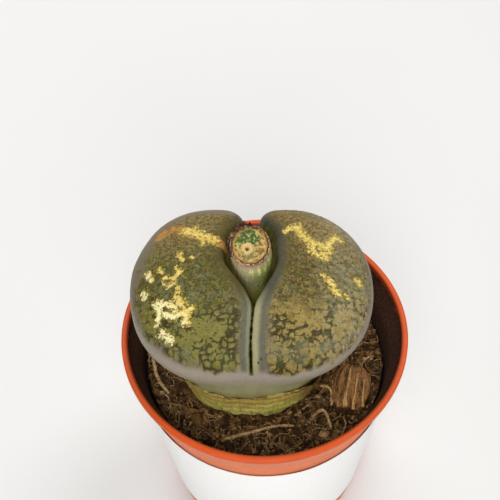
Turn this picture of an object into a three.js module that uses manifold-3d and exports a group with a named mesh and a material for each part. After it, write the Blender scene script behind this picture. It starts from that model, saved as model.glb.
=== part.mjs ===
// Potted living-stone plant (lithops) in a small plastic nursery pot.
// Millimetres, +Z up. The origin is the centre of the pot's foot, and -Y is the front.
import * as THREE from "three";
import { mergeVertices } from "three/addons/utils/BufferGeometryUtils.js";
import Module from "manifold-3d";

// ---- Driving dimensions: pot ------------------------------------------------------------
const POT_HEIGHT = 50;
const RIM_RADIUS = 27.8;
const RIM_THICKNESS = 1.3;
const RIM_LIP = 1.5; // height of the rim's upright edge
const RIM_ROUNDING = 0.35;
const FLARE_START = 43; // above this level the wall turns outwards to the rim
const WALL_TOP_RADIUS = 25.2;
const WALL_TAPER = 0.13; // radius lost for each millimetre of height
const WALL_THICKNESS = 0.9;
const FLOOR_RECESS = 1.2; // the floor stands this far above the foot ring
const FLOOR_THICKNESS = 1;
const FOOT_WIDTH = 1.7;
const DRAIN_COUNT = 5;
const DRAIN_RADIUS = 2.1;
const DRAIN_CIRCLE_RADIUS = 10.5;
const POT_SEGMENTS = 56;

// ---- Driving dimensions: paper sleeve ---------------------------------------------------
const LABEL_TOP = 38;
const LABEL_BOTTOM = 6;
const LABEL_THICKNESS = 0.4;

// ---- Driving dimensions: soil -----------------------------------------------------------
const SOIL_LEVEL = 40;
const CRUMB_COUNT = 44;
const CRUMB_SEED = 11;
const SEAT_GAP = 0.3; // between any two pieces that touch

// ---- Driving dimensions: plant ----------------------------------------------------------
const PLANT_X = -2.6;
const PLANT_Y = 0.8;
const SHOULDER_Z = 60; // the widest level of the two leaf lobes
const CROWN_Z = 68;
const LOBE_UNDERCUT = 10;
const PLAN_POWER = 2.12;
const CROWN_POWER = 2.35;
const LOBES = [
  { side: -1, out: 6.9, back: 3.3, halfWidth: 15.2, halfDepth: 17.7, rise: 8.3 },
  { side: 1, out: 6.6, back: 2.7, halfWidth: 16.6, halfDepth: 17.5, rise: 8.1 },
];
// The fused body under the lobes, from the root tip up: half width, reach to front and back.
const BODY_LEVELS = [
  { z: 24, halfWidth: 3, front: 3, back: 3 },
  { z: 30, halfWidth: 8, front: 7, back: 7 },
  { z: 36, halfWidth: 12, front: 11.8, back: 11 },
  { z: 40, halfWidth: 13.2, front: 12.6, back: 12.5 },
  { z: 46, halfWidth: 15, front: 13.4, back: 13.5 },
  { z: 52, halfWidth: 17.6, front: 14.6, back: 14 },
  { z: 58, halfWidth: 20.2, front: 15.7, back: 14 },
  { z: 64, halfWidth: 20.6, front: 15.7, back: 14 },
];
const BODY_POWER = 2.3;
const BODY_TOP = 64.5;
// The fissure between the leaves is a closed slit in front and a V behind.
const SLIT_HALF_WIDTH = 0.35;
const SLIT_FRONT_X = -2.75;
const SLIT_BACK_SHIFT = 1.15;
const SLIT_CAPSULE_SHIFT = -0.5;
const FISSURE_HALF_WIDTH = 4.75;
const FISSURE_OPENING_POWER = 0.8; // under 1, so the V widens fastest at its foot
const FISSURE_BACK_CLOSING = 3.8;
const FISSURE_FRONT_BOTTOM = 59.5;
const FISSURE_BOTTOM = 48.5;
const NET_CELL = 2.1;
const NET_CELL_AT_SLIT = 0.42;

// ---- Driving dimensions: seed capsule and old leaf --------------------------------------
const CAPSULE_X = -2.15;
const CAPSULE_Y = 6.2;
const CAPSULE_TOP = 70.2;
const CAPSULE_TOP_SLANT = 0.34; // the top face rises this much for each millimetre to the back
const CAPSULE_SECTORS = 6;
const CAPSULE_RADIUS = 3.75;
// The cone under the top face, from its foot up; x and y are its middle at each level.
const CAPSULE_LEVELS = [
  { z: 50.4, radius: 0.4, x: -1.7, y: 5.6 },
  { z: 52, radius: 0.5, x: -1.5, y: 5.2 },
  { z: 53.5, radius: 0.8, x: -1.4, y: 4.8 },
  { z: 55, radius: 1.25, x: -1.45, y: 4.9 },
  { z: 56.8, radius: 1.75, x: -1.55, y: 5.2 },
  { z: 59, radius: 2.4, x: -1.6, y: 5.5 },
  { z: 61.5, radius: 3, x: -1.75, y: 5.7 },
  { z: 64, radius: 3.45, x: -1.85, y: 5.8 },
  { z: 66.5, radius: 3.75, x: -1.95, y: 5.9 },
  { z: 68.6, radius: 3.85, x: -2.1, y: 6 },
];
// Dried sepals on the edge of the top face, by their angle and how far they stand out.
const SEPALS = [
  { angle: 1.5, length: 1.5 },
  { angle: 1.95, length: 2 },
  { angle: 2.35, length: 1.6 },
  { angle: 2.9, length: 1.3 },
];
const SEPAL_ROOT = 1.6; // how far a sepal is sunk into the cone
const SHEATH_BOTTOM = 37.2;
const SHEATH_TOP = 46.5;
const SHEATH_FRONT_RISE = 1.2;
const SHEATH_THICKNESS = 0.9;

// ---- Driving dimensions: litter on the soil ---------------------------------------------
const BARK_CHIPS = [
  { name: "bark_chip_large", x: 16.4, y: -8.2, z: 41.5, size: [8, 10, 3.6], turn: -0.2, tilt: 0.1 },
  { name: "bark_chip_small", x: 14.2, y: 12.4, z: 40.7, size: [4.4, 7, 2.2], turn: 0.8, tilt: -0.1 },
  { name: "bark_chip_left", x: -13.6, y: -13.2, z: 40.5, size: [3.4, 5, 2], turn: 0.9, tilt: 0.12 },
];
const CHIP_END_TAPER = 0.35; // share of its width that a chip loses towards its ends
// Each point is x, y and the height over the mean soil level; both ends dive into the soil.
const ROOT_FIBRES = [
  {
    name: "root_fibre_left",
    radius: 0.45,
    points: [
      [-21.6, 6.5, -1],
      [-22.1, 1.5, 2.2],
      [-21.4, -4, 2.1],
      [-19.2, -7.8, 1.6],
      [-16.4, -10.2, -1.2],
    ],
  },
  {
    name: "root_fibre_front",
    radius: 0.4,
    points: [[-9.5, -17.5, -1.1], [-5, -17.6, 1.5], [2, -16, 1.6], [7.5, -15, -1.2]],
  },
  {
    name: "root_fibre_right",
    radius: 0.4,
    points: [[7.4, -14.4, -1.2], [10.2, -13.4, 2.2], [11.4, -14.4, 2.1], [12.6, -17, -1.2]],
  },
];

const wasm = await Module();
wasm.setup();

// ---- Small maths ------------------------------------------------------------------------
const mix = (from, to, t) => from + (to - from) * t;

function smoothStep(low, high, value) {
  const t = Math.min(1, Math.max(0, (value - low) / (high - low)));
  return t * t * (3 - 2 * t);
}

// The lower of two values, with the corner where they meet rounded off over a distance.
function roundedMin(a, b, blend) {
  const t = Math.min(1, Math.max(0, 0.5 + (0.5 * (b - a)) / blend));
  return mix(b, a, t) - blend * t * (1 - t);
}

const roundedMax = (a, b, blend) => -roundedMin(-a, -b, blend);

// A repeatable stream of numbers from 0 to 1.
function seededRandom(seed) {
  let state = seed;
  return () => {
    state = (state * 1664525 + 1013904223) % 4294967296;
    return state / 4294967296;
  };
}

// ---- Solids -----------------------------------------------------------------------------
function solidOf(geometry) {
  const bare = geometry.clone();
  bare.deleteAttribute("normal");
  bare.deleteAttribute("uv");
  const merged = mergeVertices(bare, 1e-4);
  return new wasm.Manifold(
    new wasm.Mesh({
      numProp: 3,
      vertProperties: merged.attributes.position.array,
      triVerts: new Uint32Array(merged.index.array),
    }),
  );
}

function geometryOf(solid) {
  const { vertProperties, triVerts } = solid.getMesh();
  const geometry = new THREE.BufferGeometry();
  geometry.setAttribute("position", new THREE.BufferAttribute(vertProperties, 3));
  geometry.setIndex(new THREE.BufferAttribute(triVerts, 1));
  return geometry;
}

function geometryFrom(points, triangles) {
  const geometry = new THREE.BufferGeometry();
  geometry.setAttribute("position", new THREE.Float32BufferAttribute(points.flat(), 3));
  geometry.setIndex(triangles.flat());
  return geometry;
}

// A closed loop of [radius, z] points, which may differ at each angle, carried round an axis.
function sweptRing(centre, steps, loopAt) {
  const points = [];
  const triangles = [];
  let count = 0;
  for (let i = 0; i < steps; i++) {
    const angle = (2 * Math.PI * i) / steps;
    const loop = loopAt(angle);
    count = loop.length;
    for (const [radius, z] of loop) {
      points.push([centre.x + radius * Math.cos(angle), centre.y + radius * Math.sin(angle), z]);
    }
  }
  for (let i = 0; i < steps; i++) {
    const next = (i + 1) % steps;
    for (let j = 0; j < count; j++) {
      const up = (j + 1) % count;
      const corners = [i * count + j, next * count + j, next * count + up, i * count + up];
      triangles.push([corners[0], corners[1], corners[2]], [corners[0], corners[2], corners[3]]);
    }
  }
  return geometryFrom(points, triangles);
}

// The same with an open line that starts under the centre and ends over it.
function revolved(centre, steps, bottomZ, topZ, lineAt) {
  const points = [[centre.x, centre.y, bottomZ], [centre.x, centre.y, topZ]];
  const triangles = [];
  let count = 0;
  for (let i = 0; i < steps; i++) {
    const angle = (2 * Math.PI * i) / steps;
    const line = lineAt(angle);
    count = line.length;
    for (const [radius, z] of line) {
      points.push([centre.x + radius * Math.cos(angle), centre.y + radius * Math.sin(angle), z]);
    }
  }
  for (let i = 0; i < steps; i++) {
    const here = 2 + i * count;
    const next = 2 + ((i + 1) % steps) * count;
    triangles.push([0, next, here], [1, here + count - 1, next + count - 1]);
    for (let j = 0; j < count - 1; j++) {
      triangles.push([here + j, next + j, next + j + 1], [here + j, next + j + 1, here + j + 1]);
    }
  }
  return geometryFrom(points, triangles);
}

// Grid lines from low to high: close together round the centre and wider apart away from it.
function gradedLines(low, high, centre, fine, coarse, fineReach) {
  const lines = [centre];
  for (const direction of [-1, 1]) {
    let place = centre;
    while (place > low && place < high) {
      const share = smoothStep(fineReach, fineReach * 3, Math.abs(place - centre));
      place += direction * mix(fine, coarse, share);
      lines.push(place);
    }
  }
  return lines.sort((a, b) => a - b);
}

// The surface where a field is zero, as one point in each grid cell that it passes through.
function netSurface(field, lines) {
  const [nx, ny, nz] = lines.map((line) => line.length);
  const at = (i, j, k) => (i * ny + j) * nz + k;
  const values = new Float64Array(nx * ny * nz);
  for (let i = 0; i < nx; i++) {
    for (let j = 0; j < ny; j++) {
      for (let k = 0; k < nz; k++) {
        values[at(i, j, k)] = field(lines[0][i], lines[1][j], lines[2][k]);
      }
    }
  }
  const strides = [ny * nz, nz, 1];
  const points = [];
  const pointOfCell = new Map();
  const cellPoint = (cell) => {
    const sum = [0, 0, 0];
    let crossings = 0;
    for (let axis = 0; axis < 3; axis++) {
      const [one, two] = [(axis + 1) % 3, (axis + 2) % 3];
      for (let corner = 0; corner < 4; corner++) {
        const start = [...cell];
        start[one] += corner & 1;
        start[two] += corner >> 1;
        const a = values[at(...start)];
        const b = values[at(...start) + strides[axis]];
        if (a < 0 === b < 0) continue;
        const place = start.map((index, n) => lines[n][index]);
        place[axis] = mix(place[axis], lines[axis][start[axis] + 1], a / (a - b));
        place.forEach((value, n) => (sum[n] += value));
        crossings++;
      }
    }
    return sum.map((value) => value / crossings);
  };
  const pointIndex = (cell) => {
    const key = at(...cell);
    if (!pointOfCell.has(key)) pointOfCell.set(key, points.push(cellPoint(cell)) - 1);
    return pointOfCell.get(key);
  };
  const triangles = [];
  for (let axis = 0; axis < 3; axis++) {
    const [one, two] = [(axis + 1) % 3, (axis + 2) % 3];
    const start = [0, 0, 0];
    const ends = [nx, ny, nz];
    for (start[axis] = 0; start[axis] < ends[axis] - 1; start[axis]++) {
      for (start[one] = 1; start[one] < ends[one] - 1; start[one]++) {
        for (start[two] = 1; start[two] < ends[two] - 1; start[two]++) {
          const inside = values[at(...start)] < 0;
          if (inside === values[at(...start) + strides[axis]] < 0) continue;
          const quad = [[-1, -1], [0, -1], [0, 0], [-1, 0]].map(([a, b]) => {
            const cell = [...start];
            cell[one] += a;
            cell[two] += b;
            return pointIndex(cell);
          });
          if (!inside) quad.reverse();
          triangles.push([quad[0], quad[1], quad[2]], [quad[0], quad[2], quad[3]]);
        }
      }
    }
  }
  return geometryFrom(points, triangles);
}

// ---- Pot --------------------------------------------------------------------------------
// The wall is a cone that turns outwards above the start of the flare.
function wallRadius(z) {
  const cone = WALL_TOP_RADIUS - WALL_TAPER * (FLARE_START - Math.min(z, FLARE_START));
  const flare = smoothStep(FLARE_START, POT_HEIGHT - RIM_LIP + 0.2, z);
  return cone + (RIM_RADIUS - 0.15 - WALL_TOP_RADIUS) * flare;
}

const innerRadius = (z) => wallRadius(z) - WALL_THICKNESS;

function potGeometry() {
  const outline = [];
  const addPoint = (radius, z) => outline.push(new THREE.Vector2(radius, z));
  addPoint(0, FLOOR_RECESS);
  addPoint(wallRadius(0) - FOOT_WIDTH - 0.5, FLOOR_RECESS);
  addPoint(wallRadius(0) - FOOT_WIDTH, 0);
  addPoint(wallRadius(0), 0);
  addPoint(wallRadius(0.4) + 0.1, 0.4);
  addPoint(wallRadius(1.2), 1.2);
  const lipFoot = POT_HEIGHT - RIM_LIP;
  const flareLevels = 5;
  for (let i = 0; i <= flareLevels; i++) {
    const z = mix(FLARE_START, lipFoot, i / flareLevels);
    addPoint(wallRadius(z), z);
  }
  addPoint(RIM_RADIUS, lipFoot + 0.25);
  addPoint(RIM_RADIUS, POT_HEIGHT - RIM_ROUNDING);
  addPoint(RIM_RADIUS - RIM_ROUNDING, POT_HEIGHT);
  addPoint(RIM_RADIUS - 0.9, POT_HEIGHT);
  addPoint(RIM_RADIUS - RIM_THICKNESS, POT_HEIGHT - 0.6);
  for (let i = flareLevels; i >= 0; i--) {
    const z = mix(FLARE_START, lipFoot - 0.3, i / flareLevels);
    addPoint(innerRadius(z), z);
  }
  addPoint(innerRadius(FLOOR_RECESS + FLOOR_THICKNESS + 1), FLOOR_RECESS + FLOOR_THICKNESS + 1);
  addPoint(innerRadius(FLOOR_RECESS + FLOOR_THICKNESS) - 0.9, FLOOR_RECESS + FLOOR_THICKNESS);
  addPoint(0, FLOOR_RECESS + FLOOR_THICKNESS);
  const shell = new THREE.LatheGeometry(outline, POT_SEGMENTS).rotateX(Math.PI / 2);
  let pot = solidOf(shell);
  for (let i = 0; i < DRAIN_COUNT; i++) {
    const angle = (2 * Math.PI * (i + 0.5)) / DRAIN_COUNT;
    const [x, y] = [DRAIN_CIRCLE_RADIUS * Math.cos(angle), DRAIN_CIRCLE_RADIUS * Math.sin(angle)];
    const drain = new THREE.CylinderGeometry(DRAIN_RADIUS, DRAIN_RADIUS, 4, 20);
    drain.rotateX(Math.PI / 2).translate(x, y, 1.5);
    pot = pot.subtract(solidOf(drain));
  }
  return geometryOf(pot);
}

function labelGeometry() {
  const inner = (z) => wallRadius(z) + SEAT_GAP;
  const loop = [
    [inner(LABEL_BOTTOM), LABEL_BOTTOM],
    [inner(LABEL_BOTTOM) + LABEL_THICKNESS, LABEL_BOTTOM],
    [inner(LABEL_TOP) + LABEL_THICKNESS, LABEL_TOP],
    [inner(LABEL_TOP), LABEL_TOP],
  ];
  return sweptRing({ x: 0, y: 0 }, POT_SEGMENTS, () => loop);
}

// ---- Plant ------------------------------------------------------------------------------
function bodyLevel(z, key) {
  const last = BODY_LEVELS.length - 1;
  if (z <= BODY_LEVELS[0].z) return BODY_LEVELS[0][key];
  if (z >= BODY_LEVELS[last].z) return BODY_LEVELS[last][key];
  const upper = BODY_LEVELS.findIndex((level) => level.z > z);
  const [low, high] = [BODY_LEVELS[upper - 1], BODY_LEVELS[upper]];
  return mix(low[key], high[key], (z - low.z) / (high.z - low.z));
}

// Distance outside a rounded lobe; u runs out from the fissure and v from the lobe's middle.
function lobeField(lobe, x, y, z) {
  const u = lobe.side * (x - PLANT_X) - lobe.out;
  const v = y - lobe.back;
  const w = z - SHOULDER_Z;
  const plan =
    (Math.abs(u / lobe.halfWidth) ** PLAN_POWER + Math.abs(v / lobe.halfDepth) ** PLAN_POWER) **
    (1 / PLAN_POWER);
  const height = Math.abs(w / (w > 0 ? lobe.rise : LOBE_UNDERCUT));
  const reach = (plan ** CROWN_POWER + height ** CROWN_POWER) ** (1 / CROWN_POWER);
  return (Math.hypot(u, v, w) * (reach - 1)) / Math.max(reach, 1e-6);
}

function bodyField(x, y, z) {
  const u = x - PLANT_X;
  const v = y - PLANT_Y;
  const halfDepth = bodyLevel(z, v < 0 ? "front" : "back");
  const reach =
    (Math.abs(u / bodyLevel(z, "halfWidth")) ** BODY_POWER + Math.abs(v / halfDepth) ** BODY_POWER) **
    (1 / BODY_POWER);
  const side = (0.93 * Math.hypot(u, v) * (reach - 1)) / Math.max(reach, 1e-6);
  const capped = roundedMax(side, z - BODY_TOP, 5);
  return roundedMax(capped, BODY_LEVELS[0].z - z, 1);
}

// Positive inside the fissure.
function fissureField(x, y, z) {
  const middle =
    SLIT_FRONT_X +
    SLIT_BACK_SHIFT * smoothStep(-14, 0, y) +
    SLIT_CAPSULE_SHIFT * Math.exp(-(((y - CAPSULE_Y) / 4) ** 2));
  const spread =
    FISSURE_HALF_WIDTH * smoothStep(-6.5, CAPSULE_Y - 0.7, y) -
    FISSURE_BACK_CLOSING * smoothStep(10, 19, y);
  const bottom = mix(FISSURE_FRONT_BOTTOM, FISSURE_BOTTOM, smoothStep(-16, -1, y));
  const rise = Math.min(1.2, Math.max(0, (z - bottom) / (CROWN_Z - bottom)));
  const share = rise ** FISSURE_OPENING_POWER;
  return Math.min(SLIT_HALF_WIDTH + spread * share - Math.abs(x - middle), z - bottom);
}

// The two lobes and the body under them, before the fissure is cut.
function fleshField(x, y, z) {
  const lobes = roundedMin(lobeField(LOBES[0], x, y, z), lobeField(LOBES[1], x, y, z), 1.5);
  return roundedMin(lobes, bodyField(x, y, z), 4);
}

function leafField(x, y, z) {
  const edgeRounding = mix(1.6, 4, smoothStep(4, 20, y));
  return roundedMax(fleshField(x, y, z), fissureField(x, y, z), edgeRounding);
}

function leafPairGeometry() {
  const lines = [
    gradedLines(-27, 23, (2 * SLIT_FRONT_X + SLIT_BACK_SHIFT) / 2, NET_CELL_AT_SLIT, NET_CELL, 1.2),
    gradedLines(-18, 23, 0.1, NET_CELL, NET_CELL, 1),
    gradedLines(22, 70, SHOULDER_Z + 0.1, NET_CELL, NET_CELL, 1),
  ];
  return netSurface(leafField, lines);
}

const plantAxis = { x: PLANT_X, y: PLANT_Y };

// How far the plant's neck reaches from its axis at one angle and level.
function neckRadius(angle, z) {
  let inside = 0;
  let outside = 18;
  for (let i = 0; i < 24; i++) {
    const middle = (inside + outside) / 2;
    const x = PLANT_X + middle * Math.cos(angle);
    const y = PLANT_Y + middle * Math.sin(angle);
    if (fleshField(x, y, z) < 0) inside = middle;
    else outside = middle;
  }
  return inside;
}

// ---- Old leaf sheath: the papery ragged collar left by last year's leaves ---------------
const sheathTop = (angle) =>
  SHEATH_TOP -
  SHEATH_FRONT_RISE * Math.sin(angle) +
  0.7 * Math.sin(5 * angle + 0.6) +
  0.55 * Math.sin(13 * angle + 1.9) +
  0.4 * Math.sin(23 * angle);

function sheathGeometry() {
  const levels = 3;
  return sweptRing(plantAxis, 52, (angle) => {
    const inner = [];
    const outer = [];
    for (let i = 0; i <= levels; i++) {
      const share = i / levels;
      const z = mix(SHEATH_BOTTOM, sheathTop(angle), share);
      const lean = 0.35 * share * share * (1 + Math.sin(7 * angle));
      const radius = neckRadius(angle, z) + SEAT_GAP + 0.15 + lean;
      inner.push([radius, z]);
      outer.push([radius + mix(SHEATH_THICKNESS, 0.45, share), z]);
    }
    return [...outer, ...inner.reverse()];
  });
}

// ---- Seed capsule on its stalk, with the dried sepals behind it -------------------------
// The middle of the cone at one level.
function capsuleMiddle(z) {
  const top = { z: CAPSULE_TOP - 0.5, x: CAPSULE_X, y: CAPSULE_Y };
  const levels = [...CAPSULE_LEVELS, top];
  const upper = levels.findIndex((level) => level.z > z);
  if (upper < 1) return upper ? top : levels[0];
  const share = (z - levels[upper - 1].z) / (levels[upper].z - levels[upper - 1].z);
  return {
    x: mix(levels[upper - 1].x, levels[upper].x, share),
    y: mix(levels[upper - 1].y, levels[upper].y, share),
  };
}

function capsuleGeometry() {
  const face = [
    [CAPSULE_RADIUS, CAPSULE_TOP - 0.5],
    [CAPSULE_RADIUS - 0.15, CAPSULE_TOP - 0.1],
    [CAPSULE_RADIUS - 0.55, CAPSULE_TOP],
    [CAPSULE_RADIUS - 0.95, CAPSULE_TOP - 0.3],
    [1.5, CAPSULE_TOP - 0.25],
    [0.75, CAPSULE_TOP],
    [0.35, CAPSULE_TOP - 0.3],
  ];
  const line = [...CAPSULE_LEVELS.map(({ radius, z }) => [radius, z]), ...face];
  const foot = CAPSULE_LEVELS[0].z;
  const steps = CAPSULE_SECTORS * 5;
  const cone = revolved({ x: 0, y: 0 }, steps, foot, CAPSULE_TOP - 0.4, (angle) => {
    const rib = 1 + 0.02 * Math.cos(CAPSULE_SECTORS * angle);
    return line.map(([radius, z]) => [radius * rib, z]);
  });
  // The cone leans and bends with its middle, and the slant of its top face fades out below.
  const place = cone.attributes.position;
  for (let i = 0; i < place.count; i++) {
    const [x, y, z] = [place.getX(i), place.getY(i), place.getZ(i)];
    const middle = capsuleMiddle(z);
    const lift = CAPSULE_TOP_SLANT * smoothStep(60, CAPSULE_TOP - 0.5, z) * y;
    place.setXYZ(i, middle.x + x, middle.y + y, z + lift);
  }
  let capsule = solidOf(cone);
  for (const { angle, length } of SEPALS) {
    const sepal = new THREE.ConeGeometry(1, length + SEPAL_ROOT, 5).scale(1, 1, 0.5);
    sepal.rotateX(Math.PI / 2).rotateY(0.35).rotateZ(angle);
    const reach = CAPSULE_RADIUS - 0.25;
    const [x, y] = [reach * Math.cos(angle), reach * Math.sin(angle)];
    sepal.translate(CAPSULE_X + x, CAPSULE_Y + y, CAPSULE_TOP - 1 + CAPSULE_TOP_SLANT * y);
    capsule = capsule.add(solidOf(sepal));
  }
  return geometryOf(capsule);
}

// ---- Litter on the soil -----------------------------------------------------------------
const soilHeight = (x, y) =>
  SOIL_LEVEL +
  0.5 * Math.sin(0.55 * x + 0.3 * y + 1.3) +
  0.45 * Math.sin(0.38 * x - 0.61 * y + 4) +
  0.35 * Math.sin(0.95 * x + 0.85 * y + 2.1) +
  0.25 * Math.sin(1.5 * x - 1.3 * y + 5.2);

// A splintered slab with a ridged top; grow widens it on every side.
function chipGeometry(chip, grow) {
  const [width, length, height] = chip.size;
  const ridges = 5;
  const outline = new THREE.Shape();
  outline.moveTo(-width / 2 - grow, -height / 2 - grow);
  outline.lineTo(width / 2 + grow, -height / 2 - grow);
  for (let i = 0; i <= 2 * ridges; i++) {
    const across = mix(width / 2 + grow, -width / 2 - grow, i / (2 * ridges));
    const crest = i % 2 ? 0.45 : 0;
    outline.lineTo(across, height / 2 + grow - (grow ? 0 : crest) - 0.02 * across * across);
  }
  outline.closePath();
  const depth = length + 2 * grow;
  const slab = new THREE.ExtrudeGeometry(outline, { depth, steps: 4, bevelEnabled: false });
  slab.translate(0, 0, -depth / 2).rotateX(Math.PI / 2);
  const place = slab.attributes.position;
  for (let i = 0; i < place.count; i++) {
    const taper = 1 - CHIP_END_TAPER * (place.getY(i) / (depth / 2)) ** 2;
    place.setX(i, place.getX(i) * taper);
  }
  slab.rotateY(chip.tilt).rotateZ(chip.turn);
  return slab.translate(chip.x, chip.y, chip.z);
}

// A root fibre; grow makes it thicker, and longer at both ends.
function fibreGeometry(fibre, grow) {
  const route = fibre.points.map(([x, y, lift]) => new THREE.Vector3(x, y, SOIL_LEVEL + lift));
  const lengthen = (end, next) => end.add(end.clone().sub(next).setLength(grow));
  lengthen(route[0], route[1]);
  lengthen(route.at(-1), route.at(-2));
  const section = new THREE.Shape();
  section.absarc(0, 0, fibre.radius + grow, 0, 2 * Math.PI);
  return new THREE.ExtrudeGeometry(section, {
    steps: 18,
    curveSegments: 3,
    extrudePath: new THREE.CatmullRomCurve3(route),
  });
}

const litterPlaces = [
  ...BARK_CHIPS.map(({ x, y, size }) => ({ x, y, clear: size[1] * 0.6 + 2 })),
  ...ROOT_FIBRES.flatMap(({ points }) => points.map(([x, y]) => ({ x, y, clear: 3 }))),
];

// ---- Soil: fills the pot round the plant's buried base ----------------------------------
function soilGeometry() {
  const bottom = FLOOR_RECESS + FLOOR_THICKNESS + SEAT_GAP;
  const rootTip = BODY_LEVELS[0].z - SEAT_GAP - 0.2;
  const aroundSheath = SEAT_GAP * 2 + 0.25 + SHEATH_THICKNESS;
  const rings = 6;
  // Distance from the plant's axis to a circle round the pot's axis.
  const reachTo = (angle, radius) => {
    const along = PLANT_X * Math.cos(angle) + PLANT_Y * Math.sin(angle);
    const away = PLANT_X ** 2 + PLANT_Y ** 2 - radius ** 2;
    return -along + Math.sqrt(along ** 2 - away);
  };
  const body = revolved(plantAxis, 48, bottom, rootTip, (angle) => {
    const line = [
      [reachTo(angle, innerRadius(bottom) - 1.4), bottom],
      [reachTo(angle, innerRadius(bottom + 1.2) - SEAT_GAP - 0.1), bottom + 1.2],
    ];
    const edge = reachTo(angle, innerRadius(SOIL_LEVEL - 1) - SEAT_GAP - 0.1);
    line.push([edge, SOIL_LEVEL - 1]);
    const hole = neckRadius(angle, SOIL_LEVEL + 1) + aroundSheath;
    for (let i = 0; i <= rings; i++) {
      const radius = mix(edge, hole, i / rings);
      const x = PLANT_X + radius * Math.cos(angle);
      const y = PLANT_Y + radius * Math.sin(angle);
      line.push([radius, soilHeight(x, y)]);
    }
    line.push([neckRadius(angle, SHEATH_BOTTOM) + aroundSheath, SHEATH_BOTTOM - SEAT_GAP]);
    line.push([neckRadius(angle, SHEATH_BOTTOM) + SEAT_GAP + 0.15, SHEATH_BOTTOM - SEAT_GAP]);
    line.push([neckRadius(angle, 33) + SEAT_GAP + 0.25, 33]);
    line.push([neckRadius(angle, 30) + SEAT_GAP + 0.3, 30]);
    line.push([neckRadius(angle, 26) + SEAT_GAP + 0.5, 25.5]);
    line.push([3, rootTip]);
    return line;
  });
  let soil = solidOf(body);
  soil = addCrumbs(soil, aroundSheath);
  for (const chip of BARK_CHIPS) soil = soil.subtract(solidOf(chipGeometry(chip, SEAT_GAP)));
  for (const fibre of ROOT_FIBRES) {
    soil = soil.subtract(solidOf(fibreGeometry(fibre, SEAT_GAP + 0.1)));
  }
  const pieces = soil.decompose().sort((a, b) => b.volume() - a.volume());
  return geometryOf(pieces[0]);
}

// Crumbs of bark and peat, sunk half into the surface, clear of the plant and the litter.
function addCrumbs(soil, aroundSheath) {
  const random = seededRandom(CRUMB_SEED);
  let result = soil;
  let placed = 0;
  while (placed < CRUMB_COUNT) {
    const angle = 2 * Math.PI * random();
    const size = mix(0.9, 2.1, random() ** 1.6);
    const nearest = neckRadius(angle, SOIL_LEVEL + 1) + aroundSheath + size + 0.6;
    const radius = mix(nearest, 25, random());
    const x = PLANT_X + radius * Math.cos(angle);
    const y = PLANT_Y + radius * Math.sin(angle);
    const crumb = new THREE.IcosahedronGeometry(size, 0);
    crumb.scale(1, mix(0.5, 0.9, random()), mix(0.4, 0.7, random()));
    crumb.rotateX(random() - 0.5).rotateZ(6 * random());
    const roomy = Math.hypot(x, y) + size < innerRadius(SOIL_LEVEL) - SEAT_GAP - 0.3;
    const clear = litterPlaces.every((place) => Math.hypot(x - place.x, y - place.y) > place.clear);
    if (!roomy || !clear) continue;
    crumb.translate(x, y, soilHeight(x, y) + 0.1 * size);
    result = result.add(solidOf(crumb));
    placed++;
  }
  return result;
}

// ---- The object -------------------------------------------------------------------------
function finish(color, roughness) {
  return new THREE.MeshStandardMaterial({ color, roughness, metalness: 0 });
}

const pottedPlant = new THREE.Group();

function addPiece(name, geometry, material) {
  const piece = new THREE.Mesh(geometry, material);
  piece.name = name;
  pottedPlant.add(piece);
}

const barkFinish = finish(0x6b4a2c, 0.9);
const fibreFinish = finish(0x9a7648, 0.85);

addPiece("pot", potGeometry(), finish(0xc65f33, 0.45));
addPiece("pot_label", labelGeometry(), finish(0xf6f6f4, 0.6));
addPiece("soil", soilGeometry(), finish(0x35251a, 0.95));
addPiece("leaf_pair", leafPairGeometry(), finish(0x7f7a4e, 0.5));
addPiece("old_leaf_sheath", sheathGeometry(), finish(0xa59a4a, 0.7));
addPiece("seed_capsule", capsuleGeometry(), finish(0x7d8a55, 0.6));
for (const chip of BARK_CHIPS) addPiece(chip.name, chipGeometry(chip, 0), barkFinish);
for (const fibre of ROOT_FIBRES) {
  addPiece(fibre.name, fibreGeometry(fibre, 0), fibreFinish);
}

export default pottedPlant;
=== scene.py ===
# Potted living-stone plant (lithops) in a small plastic pot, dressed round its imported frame.
# Lengths are in millimetres until a mesh is made; +Z is up and -Y is the front.
import itertools
import math
import random

import bmesh
import bpy
import numpy as np
from mathutils import Matrix, Vector


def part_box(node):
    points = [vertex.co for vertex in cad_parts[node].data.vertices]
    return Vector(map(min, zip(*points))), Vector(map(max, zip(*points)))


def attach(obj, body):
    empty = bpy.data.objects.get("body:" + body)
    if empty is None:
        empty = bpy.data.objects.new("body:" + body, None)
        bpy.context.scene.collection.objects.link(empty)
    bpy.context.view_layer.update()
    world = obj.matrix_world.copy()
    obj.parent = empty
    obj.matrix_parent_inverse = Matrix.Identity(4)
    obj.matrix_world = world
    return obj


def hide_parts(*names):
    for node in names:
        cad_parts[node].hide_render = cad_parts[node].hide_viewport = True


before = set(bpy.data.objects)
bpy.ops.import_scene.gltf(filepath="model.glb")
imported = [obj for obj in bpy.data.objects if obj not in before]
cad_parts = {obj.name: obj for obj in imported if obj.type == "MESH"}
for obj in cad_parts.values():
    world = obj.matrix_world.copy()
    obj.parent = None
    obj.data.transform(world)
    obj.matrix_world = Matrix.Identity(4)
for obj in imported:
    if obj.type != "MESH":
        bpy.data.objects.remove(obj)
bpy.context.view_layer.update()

MM = 0.001


def node_box(node):
    low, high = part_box(node)
    return np.array(low) / MM, np.array(high) / MM


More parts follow.
